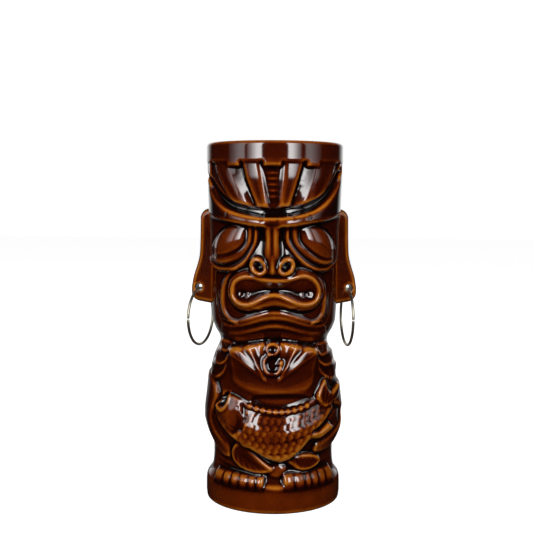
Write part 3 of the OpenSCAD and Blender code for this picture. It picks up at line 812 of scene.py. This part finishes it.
def carve_sides_and_back(r):
    """The back isn't seen in the photograph: it is plain, with a ledge under the feathers and combed hair."""
    s, z = np.meshgrid(r.s, r.z)
    # The ledge closes the headdress round the back.
    ledge = np.exp(-((z - 144.4) / 1.6) ** 4) * eased((np.abs(s) - 47) / 5)
    r.height += 1.1 * ledge
    hair = 0.5 + 0.5 * np.cos(s * 2 * math.pi / HAIR_PITCH)
    length = eased((z - 91) / 10) * eased((141 - z) / 2) * eased((np.abs(s) - 58) / 4)
    r.height -= 0.75 * (1 - hair ** 0.6) * length


FRONT_LIMIT = 35.8
BACK_LIMIT = 33.9
SOFTENING = 0.5      # blur that the glaze gives to every edge


def carved(step):
    """The whole relief. A later feature cuts into the earlier ones, so their order counts."""
    r = Relief(step)
    for carve in (carve_chest, carve_belly, carve_collar, carve_pendant, carve_jaw, carve_headdress,
                  carve_sides_and_back, carve_eyes, carve_mouth, carve_nose, carve_brow, carve_chin,
                  carve_shoulders, carve_arms, carve_fish, carve_feet, carve_fins):
        carve(r)
    r.height = blurred(r.height, SOFTENING / step)
    # Nothing stands out past a flat plane at the front, or past the rim at the back.
    turned = np.cos(np.clip(np.abs(r.s) / ARC_R, 0, 1.1))
    limit = np.where(np.abs(r.s) < 50, FRONT_LIMIT / turned, BACK_LIMIT)[None] - form_radius(r.z)[:, None]
    r.height = np.minimum(r.height, np.maximum(limit, 0))
    return r


# ---- mesh building

def grid_faces(rows, columns, closed_rows=False):
    """Quads of a grid whose columns join up in a ring, and whose rows do too where asked."""
    last = rows if closed_rows else rows - 1
    r, c = np.meshgrid(np.arange(last), np.arange(columns), indexing="ij")
    below, above = r * columns, (r + 1) % rows * columns
    after = (c + 1) % columns
    return np.stack([below + c, below + after, above + after, above + c], -1).reshape(-1, 4)


def add_object(name, data):
    new = bpy.data.objects.new(name, data)
    bpy.context.scene.collection.objects.link(new)
    return new


def add_piece(name, points, faces, body, node, material):
    """A smooth mesh from points in millimetres, riding on a body in place of a CAD node."""
    mesh = bpy.data.meshes.new(name)
    mesh.from_pydata((np.asarray(points) * MM).tolist(), [], [list(map(int, f)) for f in faces])
    mesh.validate()
    mesh.shade_smooth()
    mesh.materials.append(material)
    piece = add_object(name, mesh)
    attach(piece, body)
    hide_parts(node)
    return piece


def add_plate(name, half_width, half_height):
    """A flat rectangle, in metres, about its own middle."""
    x, y = half_width, half_height
    mesh = bpy.data.meshes.new(name)
    mesh.from_pydata([(-x, -y, 0), (x, -y, 0), (x, y, 0), (-x, y, 0)], [], [(0, 1, 2, 3)])
    plate = add_object(name, mesh)
    return plate


def paint(piece, name, values):
    """Stores one number for each point, for the material to read."""
    attribute = piece.data.attributes.new(name, "FLOAT", "POINT")
    attribute.data.foreach_set("value", np.asarray(values, np.float32))


# ---- the mug

CARVE_STEP = 0.3     # raster of the carving
ROW_STEP = 0.54      # mesh spacing up the carved part
ROUGH_STEP = 1.3     # and up the plain lower part of the plinth
FRONT_STEP = 0.5     # mesh spacing round the front
BACK_STEP = 1.5      # and round the back
FRONT_HALF = 52.0    # how far round, each way, the fine mesh goes
LIP_T = 3.6
SHOULDER_Z = MUG_H - LIP_T / 2
CARVED_FROM, CARVED_TO = 10.4, 170
FOOT_ROUND = 1.2
BARE_RINGS = 5       # how many rings of the mesh, from the middle of the underside, are bare clay

# Height and radius of the hollow, from its floor up to where the lip begins.
HOLLOW = [(6, 0.5), (6, 12), (6.3, 18), (7.4, 23), (9.6, 25.6), (13, 26.2), (27, 25.8), (42, 28.6), (55, 28),
          (68, 26.6), (75, 23.8), (80.5, 22.2), (87, 24.6), (95, 26.8), (136, 26.8), (145, 28.4),
          (152, RIM_R - LIP_T), (164, RIM_R - LIP_T), (SHOULDER_Z - 1, RIM_R - LIP_T)]

# The glaze's depth on flat ground at a few heights: it lies thinnest on the plinth.
POOL_FLAT = [(0, 0.1), (0.9, 0.16), (2.2, 0.43), (13, 0.44), (16, 0.5), (60, 0.53), (95, 0.58), (MUG_H, 0.6)]
POOL_FINE, FINE_BLUR = 2.0, 0.7        # how strongly it leaves sharp crests, and over what distance
POOL_BROAD, BROAD_BLUR = 0.2, 3.0      # and the same for broad shapes
POOL_UNDER, POOL_FOOT, POOL_INSIDE = 0.6, 0.35, 0.55


def glaze_depth_and_shade(relief):
    """How thick the glaze lies: 0 where it runs off a crest, 1 where it pools in a groove. The relief's tone
    adds to it, and in some pits, creases and under overhangs that is painted shade.
    """
    fine = blurred(relief.height, FINE_BLUR / relief.step) - relief.height
    broad = blurred(relief.height, BROAD_BLUR / relief.step) - relief.height
    flat = np.interp(relief.z, *zip(*POOL_FLAT))[:, None]
    return np.clip(flat + relief.tone + POOL_FINE * fine + POOL_BROAD * broad, 0, 1)


def sample(field, relief, s, z):
    """Values of a raster at widths s, for one height z."""
    row = z / relief.z[1]
    low = min(int(row), len(relief.z) - 2)
    line = field[low] + (field[low + 1] - field[low]) * (row - low)
    return np.interp(s, relief.s, line, period=ROUND)


def widths_round():
    """Widths of the mesh's columns, close together at the front."""
    front = np.linspace(-FRONT_HALF, FRONT_HALF, int(2 * FRONT_HALF / FRONT_STEP) + 1)
    steps = int((ROUND - 2 * FRONT_HALF) / BACK_STEP)
    return np.concatenate([front, np.linspace(FRONT_HALF, ROUND - FRONT_HALF, steps + 1)[1:-1]])


def mug_rings(s):
    """Radius, height and glaze depth, with its painted shade, of each ring: underside, outer wall, lip, then
    down inside.
    """
    relief = carved(CARVE_STEP)
    glaze_and_shade = glaze_depth_and_shade(relief)
    rings = [(share * (FORM_R[0] - FOOT_ROUND), 0, POOL_UNDER) for share in (0.02, 0.3, 0.6, 0.85)]
    for a in np.linspace(0, math.pi / 2, 5)[:-1]:
        z = FOOT_ROUND * (1 - math.cos(a))
        rings.append((form_radius(z) - FOOT_ROUND * (1 - math.sin(a)), z, POOL_FOOT))
    for z in np.concatenate([np.arange(FOOT_ROUND, CARVED_FROM, ROUGH_STEP),
                             np.arange(CARVED_FROM, CARVED_TO, ROW_STEP),
                             np.linspace(CARVED_TO + 0.2, SHOULDER_Z, 6)]):
        rings.append((form_radius(z) + sample(relief.height, relief, s, z), z, sample(glaze_and_shade, relief, s, z)))
    for a in np.linspace(0, math.pi, 10)[1:-1]:
        rings.append((RIM_R - LIP_T / 2 * (1 - math.cos(a)), SHOULDER_Z + LIP_T / 2 * math.sin(a),
                      0.5 - 0.4 * math.sin(a)))
    return rings + [(radius, z, POOL_INSIDE) for z, radius in spline(HOLLOW, steps=2)[::-1]]


def make_mug(material):
    s = widths_round()
    columns = len(s)
    out = np.stack([np.sin(s / ARC_R), -np.cos(s / ARC_R)], 1)
    rings = mug_rings(s)
    points = [np.column_stack([out * np.broadcast_to(radius, columns)[:, None], np.full(columns, z)])
              for radius, z, _ in rings]
    depth = [np.broadcast_to(glaze, columns) for _, _, glaze in rings]
    # Each end closes on its middle point.
    points = np.vstack(points + [[0, 0, HOLLOW[0][0]], [0, 0, 0]])
    floor, foot = len(points) - 2, len(points) - 1
    last = (len(rings) - 1) * columns
    caps = []
    for k in range(columns):
        n = (k + 1) % columns
        caps += [(last + k, last + n, floor), (n, k, foot)]
    faces = list(grid_faces(len(rings), columns)) + caps
    mug = add_piece("mug_form", points, faces, "mug", "mug_body", material)
    paint(mug, "glaze_and_shade", np.append(np.concatenate(depth), [POOL_INSIDE, POOL_UNDER]))
    bare = np.zeros(len(points))
    bare[:columns * BARE_RINGS] = 1
    bare[foot] = 1
    paint(mug, "bare", bare)


# ---- ears

EAR_ROOT_X = 29.0
EAR_SWEEP = math.radians(15)
EAR_T = 5.5
EAR_EDGE = 2.3       # how far in the rounding of the ear's edge reaches
EAR_POINTS = 180
LOBE_X, LOBE_Z, LOBE_R = 37.1, 103.6, 4.9
TIP_X, TIP_Z, TIP_R = 32.2, 140.6, 5.2
HOLE_R = 1.8
HOLE_EDGE = 0.7      # how far out the rounding of the hole's rim reaches
HOLE_SKEW = math.tan(math.radians(5))     # the hole runs inwards a little on its way back
HOLE = np.array((EAR_ROOT_X + (LOBE_X - EAR_ROOT_X) / math.cos(EAR_SWEEP), 106.0))
DISH = 0.6           # depth of the hollow in the ear's front
DISH_FOOT, DISH_TOP = 98, 144


def ear_outline():
    """The ear in its own plane, anticlockwise from the lower end of its root."""
    lobe = [(LOBE_X + LOBE_R * math.cos(a), LOBE_Z + LOBE_R * math.sin(a)) for a in np.linspace(-1.4, 0, 7)]
    edge = spline([(42, 106), (41, 111.6), (39.2, 117), (37.9, 122), (37.5, 128), (37.4, 137)], steps=4)
    top = [(TIP_X + TIP_R * math.cos(a), TIP_Z + TIP_R * math.sin(a))
           for a in np.linspace(0.17, math.pi / 2, 8)]
    return np.vstack([[(28.4, 97.6), (32, 97.9)], lobe, edge, top, [(28.4, 146)]])


def resampled(outline, count):
    """Points round a closed outline, spaced half by length and half by angle about the hole."""
    closed = np.vstack([outline, outline[:1]])
    dense = np.concatenate([np.linspace(a, b, 12, endpoint=False) for a, b in zip(closed[:-1], closed[1:])])
    dense = np.vstack([dense, dense[:1]])
    length = np.append(0, np.cumsum(np.linalg.norm(np.diff(dense, axis=0), axis=1)))
    angle = np.unwrap(np.arctan2(dense[:, 1] - HOLE[1], dense[:, 0] - HOLE[0]))
    share = 0.5 * length / length[-1] + 0.5 * (angle - angle[0]) / (angle[-1] - angle[0])
    want = np.arange(count) / count
    return np.stack([np.interp(want, share, dense[:, k]) for k in (0, 1)], 1)


def ear_steps(run):
    """How far out from the hole's rim each ring of the face lies, where the edge is run millimetres out."""
    near = np.array([0, 0.12, 0.3, 0.5, HOLE_EDGE])
    far = np.array([2.4, 2.0, 1.6, 1.2, 0.85, 0.55, 0.3, 0.12, 0])
    squeeze = np.minimum(1, 0.7 * run / far[0])
    first, last = near[-1] * squeeze, run - far[0] * squeeze
    between = [first + (last - first) * share for share in np.linspace(0, 1, 26)[1:-1]]
    return [v * squeeze for v in near] + between + [run - v * squeeze for v in far]


def ear_face(p, along, wall):
    """Half thickness, dish and glaze of the ear at points p, `along` millimetres out from the hole."""
    inset, _ = Relief.distance(wall, p[:, 0], p[:, 1])
    edge = np.sqrt(1 - (1 - np.clip(inset / EAR_EDGE, 0, 1)) ** 2)
    lip = 1 - np.clip(along / HOLE_EDGE, 0, 1)
    half = EAR_T / 2 * edge - 0.5 * (1 - np.sqrt(1 - lip ** 2))
    dish = DISH * eased((inset - 1.4) / 2.4)
    dish = dish * eased((p[:, 1] - DISH_FOOT) / 34) * eased((DISH_TOP - p[:, 1]) / 12)
    # The glaze thins out along the ear's edge and round its hole.
    ridge = np.exp(-((inset - 1.7) / 0.8) ** 2)
    ring = np.exp(-((along - 0.75) / 0.4) ** 2)
    return half, dish, np.clip(0.5 - 0.4 * ridge - 0.35 * ring + 0.08 * dish / DISH, 0, 1)


def ear_place(p, w, side):
    """Where points of the ear's own plane stand once they are w millimetres behind it."""
    skew = w * HOLE_SKEW * (1 - eased((np.linalg.norm(p - HOLE, axis=1) - HOLE_R) / 2.5))
    u = p[:, 0] - skew - EAR_ROOT_X
    x = EAR_ROOT_X + u * math.cos(EAR_SWEEP) - w * math.sin(EAR_SWEEP)
    y = u * math.sin(EAR_SWEEP) + w * math.cos(EAR_SWEEP)
    return np.stack([side * x, y, p[:, 1]], 1)


def make_ear(which, side, material):
    outline = resampled(ear_outline(), EAR_POINTS)
    wall = np.vstack([outline, outline[:1]])
    gap = np.linalg.norm(outline - HOLE, axis=1)
    away = (outline - HOLE) / gap[:, None]
    rim = HOLE + away * HOLE_R
    # Rings out over the front, back over the rear, and through the hole.
    front, rear = [], []
    for along in ear_steps(gap - HOLE_R):
        p = rim + away * along[:, None]
        half, dish, glaze = ear_face(p, along, wall)
        front.append((p, -np.maximum(half - dish, 0), glaze))
        rear.append((p, half, glaze))
    # The hole's wall takes the deepest glaze, the darkest colour: pooled glaze and painted shade inside the
    # hole.
    inner = [(rim, np.full(EAR_POINTS, share * EAR_T / 2), np.ones(EAR_POINTS)) for share in (0.6, 0, -0.6)]
    rings = front + rear[-2::-1] + inner
    faces = grid_faces(len(rings), EAR_POINTS, closed_rows=True)
    if side > 0:
        faces = faces[:, ::-1]
    points = np.concatenate([ear_place(p, w, side) for p, w, _ in rings])
    ear = add_piece(which + "_ear_form", points, faces, "mug", which + "_ear", material)
    paint(ear, "glaze_and_shade", np.concatenate([glaze for _, _, glaze in rings]))
    paint(ear, "bare", np.zeros(len(points)))


# ---- earrings

WIRE_R = 0.7
WIRE_POINTS = 28
HOOP_GAP = 0.5
HOOP_STEPS = 240
HOOP_TURN = {"left": math.radians(7), "right": math.radians(-7)}    # how far each turns past its ear's sweep
BEVEL = 0.16


def make_hoop(which, side, material):
    """A ring of round wire, standing where the CAD ring stands, with its cut ends slightly rounded."""
    node = which + "_earring"
    low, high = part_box(node)
    middle = np.array((low + high) / 2) / MM
    radius = (high.z - low.z) / MM / 2 - WIRE_R
    yaw = EAR_SWEEP + HOOP_TURN[which]
    ahead = np.array([side * math.sin(yaw), -math.cos(yaw), 0])
    normal = np.array([side * math.cos(yaw), math.sin(yaw), 0])
    up = np.array([0, 0, 1.0])
    # Angles along the wire, from one side of the gap round to the other, closer together at the two ends.
    start, bevel = HOOP_GAP / radius / 2, BEVEL / radius
    ends = np.array([start, start + bevel * 0.3, start + bevel])
    body = np.linspace(start, 2 * math.pi - start, HOOP_STEPS)[2:-2]
    along = np.concatenate([ends, body, 2 * math.pi - ends[::-1]])
    # The wire narrows over its last few rings at each end.
    shrink = np.zeros(len(along))
    shrink[[0, 1, -2, -1]] = (0.2, 0.07, 0.07, 0.2)
    around = np.arange(WIRE_POINTS) / WIRE_POINTS * 2 * math.pi
    points, grain = [], []
    for a, less in zip(along, shrink):
        outward = ahead * math.cos(a) + up * math.sin(a)
        r = WIRE_R - less
        ring = outward * (radius + r * np.cos(around))[:, None] + normal * (r * np.sin(around))[:, None]
        points.append(middle + ring)
        grain.append(np.stack([np.full(WIRE_POINTS, a * radius), np.cos(around), np.sin(around)], 1))
    faces = [list(face) for face in grid_faces(len(along), WIRE_POINTS)]
    last = (len(along) - 1) * WIRE_POINTS
    faces += [list(range(WIRE_POINTS))[::-1], list(range(last, last + WIRE_POINTS))]
    if side < 0:
        faces = [face[::-1] for face in faces]
    name = which + "_hoop_wire"
    hoop = add_piece(name, np.concatenate(points), faces, which + "_hoop", node, material)
    attribute = hoop.data.attributes.new("grain", "FLOAT_VECTOR", "POINT")
    attribute.data.foreach_set("vector", np.concatenate(grain).astype(np.float32).ravel())


# ---- materials

def linear(red, green, blue):
    """A screen colour out of 255 as the shader takes it."""
    parts = [v / 255 for v in (red, green, blue)]
    return [v / 12.92 if v < 0.04045 else ((v + 0.055) / 1.055) ** 2.4 for v in parts] + [1]


def grey(value):
    return (value, value, value, 1)


BUMP_DEPTH = 0.02


class Shading:
    """The nodes of a material or of the world, with short ways to add and join them."""

    def __init__(self, owner):
        owner.use_nodes = True
        self.nodes = owner.node_tree.nodes
        self.links = owner.node_tree.links

    def add(self, kind, inputs=None, **settings):
        """A node with its settings, fed as feed says."""
        node = self.nodes.new("ShaderNode" + kind)
        for name, value in settings.items():
            setattr(node, name, value)
        self.feed(node, inputs or {})
        return node

    def feed(self, node, inputs):
        """Links each output given to the input of that name or number, or sets the input to a plain value."""
        for key, value in inputs.items():
            if isinstance(value, bpy.types.NodeSocket):
                self.links.new(value, node.inputs[key])
            else:
                node.inputs[key].default_value = value

    def place(self, kind):
        return self.nodes.new("ShaderNodeTexCoord").outputs[kind]

    def attribute(self, name, output="Fac"):
        return self.add("Attribute", attribute_name=name).outputs[output]

    def noise(self, where, scale, detail):
        return self.add("TexNoise", {"Vector": where, "Scale": scale, "Detail": detail}).outputs["Fac"]

    def arithmetic(self, operation, *values):
        return self.add("Math", dict(enumerate(values)), operation=operation).outputs[0]

    def ramp(self, where, stops):
        node = self.add("ValToRGB", {"Fac": where})
        elements = node.color_ramp.elements
        while len(elements) < len(stops):
            elements.new(0.5)
        for element, (position, colour) in zip(elements, stops):
            element.position = position
            element.color = colour
        return node.outputs["Color"]

    def bump(self, height, strength):
        inputs = {"Height": height, "Strength": strength, "Distance": BUMP_DEPTH * MM}
        return self.add("Bump", inputs).outputs["Normal"]

    def camera_ray(self):
        return self.add("LightPath").outputs["Is Camera Ray"]

    def behind(self, direction, dim, bright):
        """Dim where a direction points ahead of the mug or to its side, bright where it points behind it."""
        split = self.add("SeparateXYZ", {0: direction})
        inputs = {"Value": split.outputs["Y"], "From Min": 0.66, "From Max": 0.96, "To Min": dim,
                  "To Max": bright}
        return self.add("MapRange", inputs, interpolation_type="SMOOTHSTEP").outputs["Result"]


# Glaze colours from thin, on the crests, to pooled, in the grooves; the dark end also gives the painted
# shade.
GLAZE = [(0.0, linear(206, 124, 34)), (0.18, linear(176, 92, 18)), (0.38, linear(122, 46, 4)),
         (0.56, linear(74, 18, 0)), (0.76, linear(40, 6, 0)), (1.0, linear(9, 2, 2))]
CLAY = [(0.3, linear(170, 128, 92)), (0.7, linear(196, 156, 118))]
NICKEL = [(0.3, linear(190, 182, 158)), (0.7, linear(222, 216, 196))]
UNEVEN = 0.16        # how far the mottling and the slow drifts each change the glaze's depth


def glaze_material():
    """Glossy glaze that breaks unevenly, over a foot that is wiped clean down to the buff clay."""
    material = bpy.data.materials.new("amber_brown_glaze")
    g = Shading(material)
    place, bare = g.place("Object"), g.attribute("bare")
    mottle = g.noise(place, 1.3 / MM, 4)
    # The depth read here carries painted shade as well as the glaze's own depth.
    depth = g.arithmetic("MULTIPLY_ADD", mottle, UNEVEN, g.attribute("glaze_and_shade"))
    depth = g.arithmetic("MULTIPLY_ADD", g.noise(place, 0.12 / MM, 2), UNEVEN, depth)
    depth = g.arithmetic("SUBTRACT", depth, UNEVEN)
    clay = g.ramp(g.noise(place, 2.5 / MM, 3), CLAY)
    colour = g.add("Mix", data_type="RGBA")
    g.feed(colour, {"Factor": bare, "A": g.ramp(depth, GLAZE), "B": clay})
    rough = g.arithmetic("MULTIPLY_ADD", mottle, 0.06, 0.05)
    wavy = g.bump(g.noise(place, 0.22 / MM, 1), 0.5)
    g.feed(g.nodes["Principled BSDF"], {
        "Base Color": colour.outputs["Result"],
        "Roughness": g.arithmetic("MULTIPLY_ADD", bare, 0.75, rough),
        "IOR": 1.5,
        "Coat Weight": g.arithmetic("SUBTRACT", 1.0, bare),
        "Coat Roughness": 0.08,
        "Coat IOR": 1.55,
        "Normal": wavy,
        "Coat Normal": wavy})
    return material


def wire_material():
    """Nickel wire, with fine lines along it from drawing."""
    material = bpy.data.materials.new("nickel_wire")
    g = Shading(material)
    stretched = g.add("Mapping", {"Vector": g.attribute("grain", "Vector"), "Scale": (0.35, 6, 6)})
    drawn = g.noise(stretched.outputs["Vector"], 1.0, 3)
    g.feed(g.nodes["Principled BSDF"], {
        "Base Color": g.ramp(drawn, NICKEL),
        "Metallic": 1.0,
        "Roughness": g.arithmetic("MULTIPLY_ADD", drawn, 0.2, 0.28),
        "Normal": g.bump(drawn, 0.3)})
    return material


# ---- studio

CAMERA_PLACE = (-4.1, -478.3, 151.7)
CAMERA_DIP = math.radians(4.2)
CAMERA_ROLL = math.radians(-0.35)
LENS = 64.3
SENSOR = 36
# Azimuth, elevation, width, height and radiance of each softbox.
SOFTBOXES = [(-34, 17, 0.36, 0.5, 7.0), (32, 17, 0.32, 0.5, 7.0), (-66, 17, 0.46, 0.5, 1.5),
             (66, 17, 0.46, 0.5, 1.2)]
SOFTBOX_AWAY = 0.75
# How bright a softbox is from its outer edge to its inner one, and from its lower edge to its upper one.
ACROSS = [(0.0, grey(0)), (0.3, grey(0.3)), (0.7, grey(1)), (0.93, grey(1)), (1.0, grey(0))]
UPWARD = [(0.0, grey(0)), (0.14, grey(1)), (0.85, grey(1)), (1.0, grey(0))]
# Place and watts of each fill lamp.
FILLS = [((-0.5, -1.1, 0.8), 5.0), ((0.6, -1.0, 0.7), 4.0), ((0.2, 1.2, 0.8), 4.0)]
FILL_SIZE = 0.9
AIM = Vector((0, 0, 0.15))
FLOOR_HALF = 3.0


def make_camera():
    data = bpy.data.cameras.new("camera")
    data.lens = LENS
    data.sensor_width = SENSOR
    camera = add_object("camera", data)
    camera.location = [v * MM for v in CAMERA_PLACE]
    camera.rotation_euler = (math.pi / 2 - CAMERA_DIP, CAMERA_ROLL, 0)
    bpy.context.scene.camera = camera


def make_softbox(azimuth, elevation, width, height, radiance):
    """A soft-edged glowing card. The camera doesn't see it, but the glaze does."""
    card = add_plate("softbox", width / 2, height / 2)
    a, e = math.radians(azimuth), math.radians(elevation)
    toward = Vector((math.sin(a) * math.cos(e), -math.cos(a) * math.cos(e), math.sin(e)))
    card.location = AIM + SOFTBOX_AWAY * toward
    card.rotation_euler = (math.pi / 2 - e, 0, a)
    card.visible_camera = False
    material = bpy.data.materials.new("softbox_glow")
    g = Shading(material)
    g.nodes.clear()
    split = g.add("SeparateXYZ", {0: g.place("Generated")})
    inward = split.outputs["X"] if azimuth < 0 else g.arithmetic("SUBTRACT", 1.0, split.outputs["X"])
    both = g.arithmetic("MULTIPLY", g.ramp(inward, ACROSS), g.ramp(split.outputs["Y"], UPWARD))
    glow = g.add("Emission", {"Strength": g.arithmetic("MULTIPLY", both, radiance)})
    g.add("OutputMaterial", {"Surface": glow.outputs[0]})
    card.data.materials.append(material)


def make_fill(place, energy):
    """A wide soft lamp that lights the clay and glaze without showing up as a reflection."""
    lamp = bpy.data.lights.new("fill", "AREA")
    lamp.shape = "SQUARE"
    lamp.size = FILL_SIZE
    lamp.energy = energy
    fill = add_object("fill", lamp)
    fill.location = place
    fill.rotation_euler = (AIM - Vector(place)).to_track_quat("-Z", "Y").to_euler()
    fill.visible_glossy = False


def make_world():
    """White seen directly; for light and reflections, white behind the mug and dim in front."""
    world = bpy.data.worlds.new("studio")
    bpy.context.scene.world = world
    g = Shading(world)
    strength = g.arithmetic("MAXIMUM", g.behind(g.place("Generated"), 0.008, 0.9), g.camera_ray())
    g.feed(g.nodes["Background"], {"Strength": strength, "Color": grey(1)})


def make_floor():
    """A pale floor. The glaze finds it dark but for the part behind, as if cards stood round the mug."""
    floor = add_plate("floor", FLOOR_HALF, FLOOR_HALF)
    material = bpy.data.materials.new("pale_floor")
    g = Shading(material)
    heading = g.add("VectorMath", {0: g.place("Object")}, operation="NORMALIZE")
    behind = g.behind(heading.outputs["Vector"], 0.01, 0.8)
    seen = g.camera_ray()
    g.feed(g.nodes["Principled BSDF"], {
        "Base Color": g.arithmetic("MAXIMUM", behind, g.arithmetic("MULTIPLY", seen, 0.5)),
        "Roughness": 0.8,
        "Specular IOR Level": 0.0,
        "Emission Color": grey(1),
        "Emission Strength": g.arithmetic("MULTIPLY", seen, 0.93)})
    floor.data.materials.append(material)


# ---- putting it together

glaze = glaze_material()
wire = wire_material()
make_mug(glaze)
for which, side in (("left", -1), ("right", 1)):
    make_ear(which, side, glaze)
    make_hoop(which, side, wire)
make_camera()
for softbox in SOFTBOXES:
    make_softbox(*softbox)
for place, watts in FILLS:
    make_fill(place, watts)
make_world()
make_floor()
bpy.context.scene.view_settings.view_transform = "Standard"
